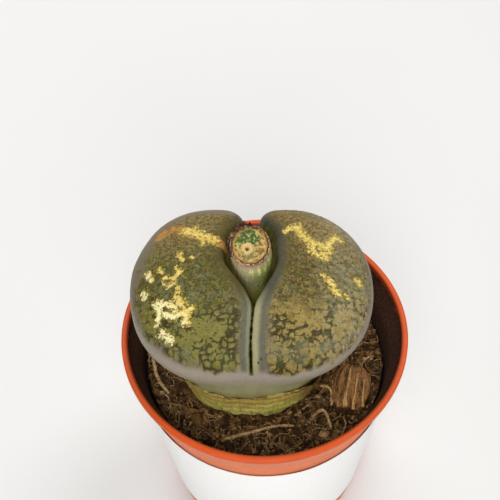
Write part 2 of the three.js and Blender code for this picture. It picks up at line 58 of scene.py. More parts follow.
# ---- Sizes: pot and sleeve, from the frame -----------------------------------------------
POT_HIGH = node_box("pot")[1]
RIM_RADIUS, POT_HEIGHT = POT_HIGH[0], POT_HIGH[2]
LABEL_LOW, LABEL_HIGH = node_box("pot_label")
RIM_THICKNESS = 1.3
RIM_LIP = 1.5  # height of the rim's upright edge
RIM_ROUNDING = 0.35
FLARE_START = POT_HEIGHT - 7  # above this level the wall turns outwards to the rim
WALL_TOP_RADIUS = RIM_RADIUS - 2.6
WALL_TAPER = 0.13
WALL_THICKNESS = 0.9
FLOOR_RECESS = 1.2
FLOOR_THICKNESS = 1.0
FOOT_WIDTH = 1.7
DRAIN_COUNT = 5
DRAIN_RADIUS = 2.1
DRAIN_CIRCLE_RADIUS = 10.5
POT_STEPS = 192
SEAT_GAP = 0.3
LABEL_STAND_OFF = 0.3  # from the pot's wall to the outside of the paper
LABEL_THICKNESS = 0.12
LABEL_OVERLAP = 0.16  # radians by which the paper overlaps itself
LABEL_SEAM = math.pi / 2 - 0.3  # the overlap's angle round the pot; the back is at pi / 2

# ---- Sizes: plant, after the solid's formula, with a closer slit and a wider V ------------
PLANT_X, PLANT_Y = -2.6, 0.8
SHOULDER_Z, CROWN_Z = 60.0, 68.0
LOBE_UNDERCUT = 10.0
PLAN_POWER, CROWN_POWER = 2.12, 2.35
LOBES = {
    -1: {"out": 6.9, "back": 3.3, "half_width": 15.2, "half_depth": 17.7, "rise": 8.3},
    1: {"out": 6.6, "back": 2.7, "half_width": 16.6, "half_depth": 17.5, "rise": 8.1},
}
BODY_Z = [24, 30, 36, 40, 46, 52, 58, 64]
BODY_HALF_WIDTH = [3, 8, 12, 13.2, 15, 17.6, 20.2, 20.6]
BODY_FRONT = [3, 7, 11.8, 12.6, 13.4, 14.6, 15.7, 15.7]
BODY_BACK = [3, 7, 11, 12.5, 13.5, 14, 14, 14]
BODY_POWER = 2.3
BODY_TOP = 64.5
SLIT_HALF_WIDTH = 0.14
SLIT_FRONT_X = -2.75
SLIT_BACK_SHIFT = 1.15
SLIT_CAPSULE_SHIFT = -0.5
FISSURE_HALF_WIDTH = 4.9
FISSURE_OPENING_POWER = 0.8
FISSURE_BACK_CLOSING = 3.8
FISSURE_FRONT_BOTTOM, FISSURE_BOTTOM = 59.5, 48.5
SHEATH_BOTTOM, SHEATH_TOP, SHEATH_FRONT_RISE = 37.2, 46.5, 1.2
SOIL_LEVEL = 40.0
# The skin's net: the size of its cells by the slit, over the leaves and towards the root.
SLIT_CELL, SKIN_CELL, ROOT_CELL = 0.065, 0.34, 0.9

# ---- Sizes: seed capsule -----------------------------------------------------------------
CAPSULE_X, CAPSULE_Y, CAPSULE_TOP = -2.15, 6.2, 70.2
CAPSULE_RADIUS = 3.75
CAPSULE_SLANT = 0.34  # the top face rises this much for each millimetre to the back
CONE_TOP = 69.5
# The cone's levels from its foot up: z, radius, and the middle's x and y.
CAPSULE_LEVELS = np.array([
    (50.4, 0.4, -1.7, 5.6), (52, 0.5, -1.5, 5.2), (53.5, 0.8, -1.4, 4.8), (55, 1.25, -1.45, 4.9),
    (56.8, 1.75, -1.55, 5.2), (59, 2.4, -1.6, 5.5), (61.5, 3.0, -1.75, 5.7),
    (64, 3.45, -1.85, 5.8), (66.5, 3.75, -1.95, 5.9), (68.6, 3.82, -2.1, 6.0),
    (CONE_TOP, CAPSULE_RADIUS, CAPSULE_X, CAPSULE_Y),
])
STAR_X, STAR_Y = -0.55, -0.6  # the old style's star stands off the middle of the top face
SEPALS = [(1.15, 0.6), (1.55, 1.1), (1.8, 1.6), (2.05, 1.9), (2.2, 1.2), (2.6, 0.8), (2.85, 1.0),
          (3.25, 0.8), (3.5, 0.5)]  # angle round the top face, length

# ---- Marks on the leaves: half width, then the line that each one follows (x, y) ---------
CREAM_SCARS = [
    (1.0, [(-14.4, 11.9), (-12.3, 11.3), (-10.2, 9.8), (-8.7, 9.0)]),
    (0.45, [(-12.9, 11.3), (-12.2, 12.9)]),
    (0.45, [(-11.2, 10.3), (-11.0, 8.4)]),
    (0.6, [(-15.2, 6.4), (-15.0, 5.3)]),
    (0.35, [(-13.1, 5.3), (-12.7, 5.2)]),
    (0.5, [(-15.9, 3.1), (-15.2, 2.2), (-15.9, 1.4)]),
    (0.5, [(-19.0, 3.4), (-18.6, 2.9)]),
    (0.6, [(-21.3, 3.2), (-20.6, 1.6)]),
    (0.4, [(-18.0, 1.3), (-16.6, 1.2), (-16.2, 0.1), (-17.3, -0.8), (-18.2, 0.1)]),
    (0.4, [(-15.6, -1.2), (-15.5, -2.0)]),
    (0.55, [(-21.9, -0.9), (-21.6, -1.8)]),
    (0.9, [(-15.6, -3.4), (-14.7, -4.9), (-14.2, -6.6), (-14.3, -8.0)]),
    (0.6, [(-14.8, -6.2), (-12.9, -5.6)]),
    (0.6, [(-19.6, -3.6), (-17.8, -4.0), (-16.2, -4.9), (-15.6, -6.4)]),
    (0.6, [(-19.4, -4.2), (-19.0, -5.6), (-17.6, -6.4), (-16.0, -6.8)]),
    (0.45, [(-18.9, -5.8), (-19.6, -7.6)]),
    (0.6, [(-18.9, -9.1), (-17.6, -10.1), (-16.9, -10.9)]),
    (0.65, [(4.9, 11.3), (6.1, 12.1), (7.3, 10.9)]),
    (0.85, [(7.0, 12.3), (7.6, 10.4), (8.6, 8.9), (9.9, 7.9), (11.3, 7.3), (12.6, 6.9)]),
    (0.7, [(12.0, 7.2), (13.2, 8.6), (13.9, 9.9), (14.7, 9.2)]),
    (0.7, [(9.4, 7.4), (9.3, 6.3), (10.4, 5.0), (11.8, 4.4)]),
    (0.6, [(11.2, 5.6), (12.9, 5.9)]),
    (0.35, [(10.9, 0.6), (11.7, -0.3)]),
    (0.6, [(11.7, -0.3), (12.4, -1.5), (13.1, -2.6), (13.7, -3.5)]),
    (0.5, [(17.2, 0.4), (17.6, -0.5)]),
    (0.4, [(14.9, -3.2), (15.3, -3.7)]),
]
WOUND_ARC = [
    (0.95, [(-19.3, 11.6), (-17.6, 13.3), (-15.2, 12.6), (-13.3, 11.5)]),
    (1.15, [(-13.3, 11.5), (-10.5, 9.9), (-8.6, 9.2), (-7.4, 8.4)]),
]

# ---- Litter on the soil ------------------------------------------------------------------
CHIPS = {
    "bark_chip_large": {"place": (16.4, -8.2, 41.5), "size": (8, 10, 3.6), "turn": -0.2, "tilt": 0.1},
    "bark_chip_small": {"place": (14.2, 12.4, 40.7), "size": (4.4, 7, 2.2), "turn": 0.8, "tilt": -0.1},
    "bark_chip_left": {"place": (-13.6, -13.2, 40.5), "size": (3.4, 5, 2), "turn": 0.9, "tilt": 0.12},
}
CHIP_END_TAPER = 0.35  # share of its width that a chip loses towards its ends
# Loose bast strands on the large chip: radius and the points that each one runs through.
BAST = [
    (0.5, [(15.0, -13.2, 42.6), (15.6, -9.4, 43.2), (16.6, -4.9, 43.3)]),
    (0.34, [(13.8, -12.6, 42.3), (14.2, -9.2, 43.0), (14.9, -6.0, 43.1)]),
    (0.4, [(16.5, -13.4, 42.5), (17.0, -10.0, 43.3), (18.1, -5.9, 43.4)]),
    (0.36, [(18.3, -13.0, 42.4), (18.5, -10.4, 43.2), (19.2, -7.4, 43.3)]),
    (0.3, [(12.6, -12.0, 41.8), (13.2, -9.4, 42.4), (13.3, -7.0, 42.4)]),
]
HOOK_RADIUS = 0.3
HOOK = [(10.6, -7.7, 41.9), (11.4, -8.2, 42.6), (12.2, -8.6, 42.6), (12.6, -9.6, 42.2),
        (12.4, -11.0, 41.4)]
# Each root's radius and its points: x, y and the height over the mean soil level.
ROOTS = {
    "root_fibre_left": (0.45, [(-21.6, 6.5, -1), (-22.1, 1.5, 2.2), (-21.4, -4, 2.1),
                               (-19.2, -7.8, 1.6), (-16.4, -10.2, -1.2)]),
    "root_fibre_front": (0.4, [(-9.5, -17.5, -1.1), (-5, -17.6, 1.5), (2, -16, 1.6),
                               (7.5, -15, -1.2)]),
    "root_fibre_right": (0.4, [(7.4, -14.4, -1.2), (10.2, -13.4, 2.2), (11.4, -14.4, 2.1),
                               (12.6, -17, -1.2)]),
}
ROOT_STEPS = 90
TWIG_STARTS = (20, 38, 55, 70)  # the steps of a root from which its side roots grow
# Crumbs of soil: how many, and their smallest and largest size.
CRUMB_SIZES = [(70, 0.8, 1.6), (1300, 0.35, 0.9), (3600, 0.15, 0.4)]
FIBRE_COUNT, SHARD_COUNT = 560, 150
SLIT_CRUMBS = (-7.6, -8.3, -8.9, -9.6, -10.3, -11.4, -12.7, -14.2)  # their y along the slit
SKIN_CRUMBS = [(-0.9, -14.6, 0.3), (-1.4, -14.9, 0.24), (-0.2, -13.0, 0.16), (0.4, -9.2, 0.15),
               (2.3, -3.6, 0.12)]  # x, y and size


# ---- Small maths -------------------------------------------------------------------------
def mix(low, high, share):
    return low + (high - low) * share


def smooth_step(low, high, value):
    share = np.clip((value - low) / (high - low), 0, 1)
    return share * share * (3 - 2 * share)


def rounded_min(a, b, blend):
    share = np.clip(0.5 + 0.5 * (b - a) / blend, 0, 1)
    return mix(b, a, share) - blend * share * (1 - share)


def rounded_max(a, b, blend):
    return -rounded_min(-a, -b, blend)


def scatter(cells, seed=0):
    """A repeatable random number from 0 to 1 for each row of whole numbers."""
    factors = np.array([73856093, 19349663, 83492791])[: cells.shape[1]]
    key = (cells * factors).sum(axis=1) + seed * 2654435761
    key = ((key ^ (key >> 15)) * 2246822519) & 0xFFFFFFFF
    key = ((key ^ (key >> 13)) * 3266489917) & 0xFFFFFFFF
    return (key ^ (key >> 16)) / 0xFFFFFFFF


def value_noise(points, scale, seed=0):
    """Smooth values from -1 to 1 that vary over about 1 / scale millimetres."""
    points = np.asarray(points, float) * scale + 19.7 * seed
    cell = np.floor(points).astype(np.int64)
    share = points - cell
    share = share * share * (3 - 2 * share)
    total = np.zeros(len(points))
    for corner in itertools.product((0, 1), repeat=points.shape[1]):
        weight = np.prod(np.where(corner, share, 1 - share), axis=1)
        total += weight * scatter(cell + corner, seed)
    return 2 * total - 1


def fractal(points, scale, octaves=3, seed=0):
    parts = [value_noise(points, scale * 2**i, seed + i) / 2**i for i in range(octaves)]
    return sum(parts) / (2 - 0.5 ** (octaves - 1))


def cell_borders(points, size, seed=0):
    """Distance to the nearest border between random cells, as a share of a cell, less some
    for the distance from the cell's middle, so that the cells come out rounded."""
    places = points / size
    base = np.floor(places).astype(np.int64)
    nearest = np.full(len(points), 9.0)
    second = nearest.copy()
    for offset in itertools.product((-1, 0, 1), repeat=2):
        cell = base + offset
        middle_x = cell[:, 0] + 0.5 + 0.84 * (scatter(cell, seed + 1) - 0.5)
        middle_y = cell[:, 1] + 0.5 + 0.84 * (scatter(cell, seed + 2) - 0.5)
        distance = np.hypot(places[:, 0] - middle_x, places[:, 1] - middle_y)
        second = np.minimum(second, np.maximum(distance, nearest))
        nearest = np.minimum(nearest, distance)
    return second - 1.4 * nearest


def nearness(points, strokes):
    """1 on a stroke's line, 0 at its half width, and down to -1 further out."""
    best = np.full(len(points), -1.0)
    for half_width, line in strokes:
        for start, end in zip(line, line[1:]):
            start, way = np.array(start), np.array(end) - np.array(start)
            share = np.clip((points - start) @ way / (way @ way), 0, 1)
            distance = np.linalg.norm(points - start - share[:, None] * way, axis=1)
            best = np.maximum(best, 1 - distance / half_width)
    return best


def smooth_path(points, count):
    """A Catmull-Rom curve through points, as count points."""
    points = np.asarray(points, float)
    padded = np.vstack([2 * points[0] - points[1], points, 2 * points[-1] - points[-2]])
    places = np.linspace(0, len(points) - 1 - 1e-6, count)
    index = places.astype(int)
    t = (places - index)[:, None]
    a, b, c, d = (padded[index + i] for i in range(4))
    bend = 2 * a - 5 * b + 4 * c - d
    return 0.5 * (2 * b + (c - a) * t + bend * t**2 + (3 * b - a - 3 * c + d) * t**3)


# ---- Meshes ------------------------------------------------------------------------------
def linked(name, data):
    """A new object in the scene."""
    thing = bpy.data.objects.new(name, data)
    bpy.context.scene.collection.objects.link(thing)
    return thing


def make_object(name, points, faces, material, slot, sharp=None, **attributes):
    """A mesh piece that rides on the plant's one body. faces is a list of arrays, each with
    one kind of face; attributes are numbers or vectors, one for each point."""
    mesh = bpy.data.meshes.new(name)
    blocks = [np.asarray(block, np.int32) for block in faces]
    corners = np.concatenate([block.ravel() for block in blocks])
    sizes = np.concatenate([np.full(len(block), block.shape[1]) for block in blocks])
    starts = np.concatenate([[0], np.cumsum(sizes)[:-1]]).astype(np.int32)
    mesh.vertices.add(len(points))
    mesh.vertices.foreach_set("co", (np.asarray(points) * MM).astype(np.float32).ravel())
    mesh.loops.add(len(corners))
    mesh.loops.foreach_set("vertex_index", corners)
    mesh.polygons.add(len(sizes))
    mesh.polygons.foreach_set("loop_start", starts)
    mesh.update(calc_edges=True)
    mesh.validate()
    for key, values in attributes.items():
        add_attribute(mesh, key, values)
    mesh.shade_smooth()
    if sharp is not None:
        mesh.set_sharp_from_angle(angle=math.radians(sharp))
    mesh.materials.append(material)
    piece = linked(name, mesh)
    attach(piece, "root")
    return piece


def add_attribute(mesh, name, values):
    values = np.asarray(values, np.float32)
    kind, field = ("FLOAT", "value") if values.ndim == 1 else ("FLOAT_VECTOR", "vector")
    mesh.attributes.new(name, kind, "POINT").data.foreach_set(field, values.ravel())


def grid_faces(rows, columns, start=0, wrap=False, flip=False):
    """Quads over a grid of points that is stored row by row."""
    last = columns if wrap else columns - 1
    i, j = np.meshgrid(np.arange(rows - 1), np.arange(last), indexing="ij")
    i, j = i.ravel(), j.ravel()
    beside = (j + 1) % columns
    quads = np.stack([i * columns + j, i * columns + beside, (i + 1) * columns + beside,
                      (i + 1) * columns + j], axis=1) + start
    return quads[:, ::-1] if flip else quads


def capped_faces(rows, columns):
    """The faces of a closed body of rings of points, with one more point at either end."""
    count = rows * columns
    step = np.arange(columns)
    after = (step + 1) % columns
    last = count - columns
    first_cap = np.stack([np.full(columns, count), after, step], axis=1)
    last_cap = np.stack([np.full(columns, count + 1), last + step, last + after], axis=1)
    return [grid_faces(rows, columns, wrap=True), np.vstack([first_cap, last_cap])]


def polar(radius, angle, z, x=0.0, y=0.0):
    """Points at a radius and an angle round the upright axis through (x, y)."""
    return np.stack([x + radius * np.cos(angle), y + radius * np.sin(angle), z], axis=-1)


def slab(front, back, wrap=False):
    """The closed body between two grids of points (rows x columns x 3); front faces out where
    its columns turn to the left of its rows."""
    rows, columns = front.shape[:2]
    count = rows * columns
    points = np.concatenate([front.reshape(-1, 3), back.reshape(-1, 3)])
    faces = [grid_faces(rows, columns, 0, wrap), grid_faces(rows, columns, count, wrap, True)]
    index = np.arange(count).reshape(rows, columns)
    borders = [(index[0], False), (index[-1], True)]
    if not wrap:
        borders += [(index[:, 0], True), (index[:, -1], False)]
    for line, flip in borders:
        line = np.append(line, line[0]) if wrap else line
        a, b = line[:-1], line[1:]
        quads = np.stack([a, a + count, b + count, b], axis=1)
        faces.append(quads[:, ::-1] if flip else quads)
    return points, [np.concatenate(faces)]


def turned_body(radius, z, x=0.0, y=0.0, foot=None, top=None):
    """A closed body from grids of radius and height (levels x angles) round a middle (x, y),
    which may differ from level to level. foot and top are its two points on the axis."""
    angle = np.linspace(0, 2 * math.pi, radius.shape[1], endpoint=False)
    points = np.vstack([polar(radius, angle, z, x, y).reshape(-1, 3), foot, top])
    return points, capped_faces(*radius.shape)


class Heap:
    """Many small bodies that are gathered into one mesh, each with a tone of its own."""

    def __init__(self):
        self.points, self.tones, self.faces, self.count = [], [], {}, 0

    def add(self, points, faces, tone):
        self.points.append(points)
        self.tones.append(np.full(len(points), tone))
        for block in faces:
            self.faces.setdefault(block.shape[1], []).append(block + self.count)
        self.count += len(points)

    def make(self, name, material, slot, sharp=None):
        faces = [np.concatenate(blocks) for blocks in self.faces.values()]
        points, tones = np.concatenate(self.points), np.concatenate(self.tones)
        return make_object(name, points, faces, material, slot, sharp, tone=tones)


def tube(route, radii, sides):
    """A closed tube along a route of points, with a radius at each one."""
    route = np.asarray(route, float)
    along = np.gradient(route, axis=0)
    along /= np.linalg.norm(along, axis=1, keepdims=True)
    helper = np.where(np.abs(along[:, 2:]) > 0.9, [[1.0, 0, 0]], [[0, 0, 1.0]])
    across = np.cross(helper, along)
    across /= np.linalg.norm(across, axis=1, keepdims=True)
    over = np.cross(along, across)
    angles = np.linspace(0, 2 * math.pi, sides, endpoint=False)
    ring = across[:, None] * np.cos(angles)[:, None] + over[:, None] * np.sin(angles)[:, None]
    points = (route[:, None] + ring * np.asarray(radii)[:, None, None]).reshape(-1, 3)
    return np.vstack([points, route[:1], route[-1:]]), capped_faces(len(route), sides)


def ball(levels):
    """Points and triangles of a unit icosphere."""
    shape = bmesh.new()
    bmesh.ops.create_icosphere(shape, subdivisions=levels, radius=1)
    points = np.array([vertex.co for vertex in shape.verts])
    faces = np.array([[vertex.index for vertex in face.verts] for face in shape.faces])
    shape.free()
    return points, faces


def turned(points, spin, lean, tilt):
    """Points turned about X by tilt, about Y by lean and about Z by spin."""
    turn = Matrix.Rotation(spin, 3, "Z") @ Matrix.Rotation(lean, 3, "Y")
    return points @ np.array(turn @ Matrix.Rotation(tilt, 3, "X")).T


# ---- Materials ---------------------------------------------------------------------------
def srgb(red, green, blue):
    """A colour as it looks on screen (0 to 255), as the linear values that shaders take."""
    linear = [v / 12.92 if v <= 0.04045 else ((v + 0.055) / 1.055) ** 2.4
              for v in (red / 255, green / 255, blue / 255)]
    return (*linear, 1.0)


class Finish:
    """One material's node tree. Every input may be a plain value or another node's output."""

    def __init__(self, name, roughness=0.5, **constants):
        self.material = bpy.data.materials.new(name)
        self.material.use_nodes = True
        self.tree = self.material.node_tree
        self.shader = self.tree.nodes["Principled BSDF"]
        self.set("Roughness", roughness)
        for key, value in constants.items():
            self.set(key.replace("_", " "), value)
        place = self.add("ShaderNodeTexCoord", "Object")
        self.place = self.scaled(place, 1 / MM)
        self.x, self.y, self.z = self.add("ShaderNodeSeparateXYZ", 0, {0: self.place}).node.outputs

    def add(self, kind, output=0, inputs=None, **settings):
        node = self.tree.nodes.new(kind)
        for key, value in settings.items():
            setattr(node, key, value)
        for key, value in (inputs or {}).items():
            self.feed(node.inputs[key], value)
        return node.outputs[output]

    def feed(self, socket, value):
        if isinstance(value, bpy.types.NodeSocket):
            self.tree.links.new(value, socket)
        else:
            socket.default_value = value

    def set(self, key, value):
        self.feed(self.shader.inputs[key], value)

    def attribute(self, name, output="Fac"):
        return self.add("ShaderNodeAttribute", output, attribute_name=name)

    def maths(self, operation, a, b=0.0):
        return self.add("ShaderNodeMath", 0, {0: a, 1: b}, operation=operation)

    def plus(self, a, b):
        return self.maths("ADD", a, b)

    def times(self, a, b):
        return self.maths("MULTIPLY", a, b)

    def centred(self, value, reach):
        """A value from 0 to 1 as one from -reach / 2 to reach / 2."""
        return self.times(self.maths("SUBTRACT", value, 0.5), reach)

    def ramp(self, value, low, high, to_low=0.0, to_high=1.0):
        inputs = {0: value, 1: low, 2: high, 3: to_low, 4: to_high}
        return self.add("ShaderNodeMapRange", 0, inputs, interpolation_type="SMOOTHSTEP")

    def noise(self, scale, detail=2.0, rough=0.5, place=None, output="Fac", stretch=None):
        place = self.stretched(place or self.place, stretch)
        inputs = {"Vector": place, "Scale": scale, "Detail": detail, "Roughness": rough}
        return self.add("ShaderNodeTexNoise", output, inputs)

    def cells(self, scale, place=None):
        inputs = {"Vector": place or self.place, "Scale": scale}
        return self.add("ShaderNodeTexVoronoi", "Distance", inputs, feature="F1")

    def stretched(self, place, stretch):
        if stretch is None:
            return place
        return self.add("ShaderNodeVectorMath", 0, {0: place, 1: stretch}, operation="MULTIPLY")

    def scaled(self, vector, share):
        """A vector or a colour times a number."""
        return self.add("ShaderNodeVectorMath", 0, {0: vector, "Scale": share}, operation="SCALE")

    def warped(self, place, scale, reach):
        """The place moved about by up to reach millimetres."""
        push = self.noise(scale, 2.0, place=place, output="Color")
        push = self.add("ShaderNodeVectorMath", 0, {0: push, 1: (0.5,) * 3}, operation="SUBTRACT")
        inputs = {0: place, 1: self.scaled(push, 2 * reach)}
        return self.add("ShaderNodeVectorMath", 0, inputs, operation="ADD")

    def blend(self, share, a, b):
        return self.add("ShaderNodeMix", 2, {0: share, 6: a, 7: b}, data_type="RGBA")

    def bump(self, height, depth, strength=1.0):
        inputs = {"Height": height, "Distance": depth * MM, "Strength": strength}
        self.set("Normal", self.add("ShaderNodeBump", 0, inputs))


def leaf_finish():
    finish = Finish("leaf_skin", Specular_IOR_Level=0.18)
    pattern = finish.attribute("pattern", "Vector")
    side, front = finish.attribute("side"), finish.attribute("front")
    speckle = finish.noise(3.0, 4, 0.7)
    behind = finish.ramp(finish.y, 2, 13)

    window, islands = window_colours(finish, pattern, side, front, speckle, behind)
    margin = margin_colours(finish, side)
    edge = finish.plus(finish.attribute("window"), finish.centred(speckle, 1.1))
    colour = finish.blend(finish.ramp(edge, -0.5, 1.1), margin, window)

    # Healed cuts: cream in the middle with a yellow edge, and one long orange-brown arc.
    tear = finish.centred(finish.noise(1.6, 4, 0.76), 7.5)
    arc = finish.plus(finish.attribute("arc"), finish.times(tear, 0.22))
    arc_colour = finish.blend(finish.ramp(finish.noise(0.9, 4), 0.35, 0.65), srgb(138, 92, 34),
                              srgb(186, 136, 62))
    colour = finish.blend(finish.times(finish.ramp(arc, -0.15, 0.25), 0.9), colour, arc_colour)
    reach = finish.ramp(finish.attribute("scar"), -1, -0.5)
    scar = finish.plus(finish.attribute("scar"), finish.times(tear, reach))
    colour = finish.blend(finish.ramp(scar, -0.2, 0.12), colour, srgb(146, 128, 48))
    cream = finish.ramp(finish.plus(finish.x, finish.times(finish.y, 0.6)), -21, -17, 1, 0)
    cream = finish.blend(cream, srgb(208, 180, 90), srgb(226, 216, 160))
    cream = finish.blend(finish.ramp(scar, 0.9, 1.8, 0, 0.8), cream, srgb(236, 222, 160))
    colour = finish.blend(finish.ramp(scar, 0.15, 0.4), colour, cream)
    grain = finish.ramp(finish.noise(5.0, 3, 0.7), 0.3, 0.7, 0.84, 1.14)
    finish.set("Base Color", finish.scaled(colour, grain))

    finish.set("Roughness", finish.ramp(finish.noise(1.8, 3), 0.3, 0.7, 0.36, 0.5))
    height = finish.plus(finish.times(islands, 0.45), finish.noise(6.5, 3, 0.7))
    finish.bump(height, 0.08, 0.8)
    return finish.material


def window_colours(finish, pattern, side, front, speckle, behind):
    """The windows on top of the leaves: pale islands in dark channels, coarse and rounded in
    front, finely broken up behind, with brown dots and lines among them."""
    border = finish.attribute("island")
    broad = finish.ramp(finish.noise(0.2, 3), 0.36, 0.64)
    near_margin = finish.ramp(finish.attribute("window"), 4.5, 0.5)
    limit = finish.plus(finish.ramp(broad, 0, 1, -0.24, 0.1), finish.times(near_margin, 0.12))
    coarse = finish.plus(border, finish.centred(speckle, 0.75))
    coarse = finish.ramp(finish.maths("SUBTRACT", coarse, limit), -0.1, 0.12)
    mottle = finish.noise(1.4, 5, 0.76, place=pattern)
    fine = finish.ramp(finish.plus(mottle, finish.centred(speckle, 0.4)), 0.44, 0.56)
    islands = finish.blend(finish.ramp(front, 0.25, 0.8), fine, coarse)

    green = finish.ramp(finish.noise(0.45, 3), 0.4, 0.62)
    channel = finish.blend(green, srgb(56, 46, 12), srgb(58, 64, 28))
    dark_island = finish.blend(side, srgb(98, 90, 26), srgb(106, 90, 34))
    pale_island = finish.blend(side, srgb(118, 112, 54), srgb(141, 121, 66))
    shade = finish.plus(finish.times(finish.noise(0.7, 4, 0.65), 0.8), finish.times(front, 0.12))
    island = finish.blend(finish.ramp(shade, 0.34, 0.56), dark_island, pale_island)
    channel = finish.blend(finish.times(behind, 0.7), channel, srgb(96, 78, 36))
    island = finish.blend(finish.times(behind, 0.65), island, srgb(156, 130, 76))
    window = finish.blend(islands, channel, island)

    # Painted sheen: bluish-grey patches at random, a dull reflection laid into the colour.
    painted_cool_sheen = finish.times(finish.ramp(finish.noise(0.26, 3, 0.6), 0.54, 0.66), 0.55)
    window = finish.blend(painted_cool_sheen, window, srgb(104, 104, 74))
    dots = finish.ramp(finish.cells(1.7, finish.warped(pattern, 2.0, 0.3)), 0.14, 0.34, 1, 0)
    dots = finish.times(dots, finish.ramp(finish.noise(0.7), 0.36, 0.52))
    lines = finish.times(finish.ramp(border, -0.3, -0.12, 1, 0), finish.ramp(speckle, 0.38, 0.58))
    lines = finish.times(lines, finish.ramp(near_margin, 0, 1, 0.4, 1))
    brown = finish.maths("MAXIMUM", finish.times(dots, 0.85), finish.times(lines, 0.8))
    window = finish.blend(brown, window, srgb(62, 44, 18))
    yellow = finish.times(finish.ramp(finish.noise(1.1, 4, 0.65), 0.58, 0.68), 0.5)
    window = finish.blend(yellow, window, srgb(150, 134, 44))
    # Painted glints: small bright cream specks, in scattered patches over the windows.
    painted_glints = finish.times(finish.ramp(finish.cells(1.3), 0.06, 0.13, 1, 0),
                          finish.ramp(finish.noise(0.35), 0.54, 0.62))
    window = finish.blend(finish.times(painted_glints, 0.8), window, srgb(202, 196, 148))
    inner = finish.times(finish.ramp(finish.attribute("fissure"), 1.0, 5.0, 1, 0),
                         finish.ramp(finish.y, -5, 1))
    window = finish.blend(finish.times(inner, 0.65), window, srgb(76, 66, 16))
    # Painted sheen: a whitish veil on the right flank, where the right-hand softbox shines on the skin.
    painted_sheen = finish.ramp(finish.noise(1.3, 4, 0.78), 0.42, 0.6, 0.04, 0.5)
    painted_sheen = finish.times(painted_sheen, finish.ramp(finish.x, 7, 15))
    return finish.blend(painted_sheen, window, srgb(166, 158, 126)), islands


def margin_colours(finish, side):
    """The smooth skin round the windows: lilac-grey on the shoulder, grey-green below it,
    yellow-green at the neck, and along the slit a pale lip with a dark band of painted shade beside it."""
    margin = finish.blend(finish.ramp(finish.z, 59.5, 64), srgb(152, 142, 128), srgb(112, 100, 76))
    margin = finish.blend(finish.ramp(finish.z, 52, 58.5, 1, 0), margin, srgb(160, 156, 114))
    margin = finish.blend(finish.ramp(finish.z, 45.5, 51, 1, 0), margin, srgb(150, 142, 80))
    band = finish.attribute("band")
    lip = finish.blend(side, srgb(118, 122, 96), srgb(146, 140, 104))
    # Painted shade: past the pale lip the band darkens to grey where the skin curves down into the slit.
    lip = finish.blend(finish.ramp(band, 0.3, 0.7), lip, srgb(92, 90, 74))
    # Painted shade: towards the back and beside the capsule, where the slit opens into the V, the whole band
    # is painted dark.
    slit_shade = finish.blend(side, srgb(74, 66, 24), srgb(68, 67, 50))
    lip = finish.blend(finish.ramp(finish.y, -7, -1), lip, slit_shade)
    fissure = finish.attribute("fissure")
    beside_capsule = finish.times(finish.ramp(fissure, 2.4, 1.2), finish.ramp(finish.y, -4, 0))
    by_slit = finish.maths("MAXIMUM", finish.ramp(band, 1.5, 0.8), beside_capsule)
    by_slit = finish.times(by_slit, finish.ramp(finish.z, 59.5, 62))
    margin = finish.blend(by_slit, margin, lip)
    wall = finish.times(finish.ramp(fissure, 0.03, 0.4, 1, 0), finish.ramp(finish.z, 66.8, 63.5))
    olive = finish.blend(finish.ramp(finish.noise(0.8, 3), 0.4, 0.6), srgb(92, 84, 28), srgb(120, 114, 44))
    return finish.blend(finish.times(wall, 0.9), margin, olive)


def plastic_finish():
    finish = Finish("pot_plastic", 0.4, Specular_IOR_Level=0.25, Subsurface_Weight=0.1)
    finish.set("Subsurface Scale", 1.2 * MM)
    finish.set("Subsurface Radius", (1.0, 0.35, 0.15))
    # Painted light: the wall below the lip is painted a paler salmon than the deep orange rim, for the glow
    # of light that passes through its thin plastic.
    lip = finish.ramp(finish.z, POT_HEIGHT - RIM_LIP - 0.8, POT_HEIGHT - RIM_LIP + 0.8)
    colour = finish.blend(lip, srgb(206, 112, 70), srgb(200, 76, 6))
    cloud = finish.ramp(finish.noise(0.12, 3), 0.3, 0.7, 0.93, 1.05)
    scuff = finish.noise(1.2, 4, 0.7, stretch=(0.25, 0.25, 3.0))
    scuff = finish.ramp(scuff, 0.62, 0.78, 0, 0.16)
    colour = finish.blend(scuff, finish.scaled(colour, cloud), srgb(232, 160, 124))
    dust = finish.ramp(finish.noise(2.6, 3, 0.75), 0.66, 0.74, 0, 0.3)
    colour = finish.blend(dust, colour, srgb(120, 74, 48))

    # Inside, the wall is painted near-black up to a ragged line under the lip, less at the back: partly damp
    # soil that clings to it and partly painted shade under the leaves.
    inside = finish.attribute("inside")
    ragged = finish.plus(finish.z, finish.centred(finish.noise(0.8, 4, 0.7), 3.5))
    soil_and_shade = finish.ramp(ragged, POT_HEIGHT - 2.0, POT_HEIGHT - 0.9, 1, 0)
    soil_and_shade = finish.times(finish.times(inside, soil_and_shade), finish.ramp(finish.y, 17, 23, 1, 0.2))
    mud_and_shade = finish.blend(finish.ramp(finish.noise(2.2, 4), 0.4, 0.7), srgb(18, 11, 6), srgb(60, 38, 20))
    # Painted shade: the inner half of the rim ring is painted dark red-brown, strongest at the front and
    # sides and faint at the back, where the rim is lit.
    painted_rim_shade = finish.ramp(finish.attribute("axis_distance"), RIM_RADIUS - 1.3, RIM_RADIUS - 0.5, 1, 0)
    painted_rim_shade = finish.times(finish.times(painted_rim_shade, lip), finish.ramp(finish.y, 12, 22, 0.75, 0.1))
    colour = finish.blend(painted_rim_shade, colour, srgb(96, 32, 8))
    finish.set("Base Color", finish.blend(finish.times(soil_and_shade, 0.96), colour, mud_and_shade))
    gloss = finish.ramp(finish.noise(0.8, 4, 0.65), 0.3, 0.7, 0.34, 0.5)
    finish.set("Roughness", finish.maths("MAXIMUM", gloss, finish.times(soil_and_shade, 0.9)))
    rings = finish.maths("SINE", finish.times(finish.z, 9.0))
    height = finish.plus(finish.noise(3.0, 3), finish.times(rings, 0.08))
    height = finish.plus(height, finish.times(soil_and_shade, finish.noise(2.5, 4, 0.7)))
    finish.bump(height, 0.04, 0.6)
    return finish.material


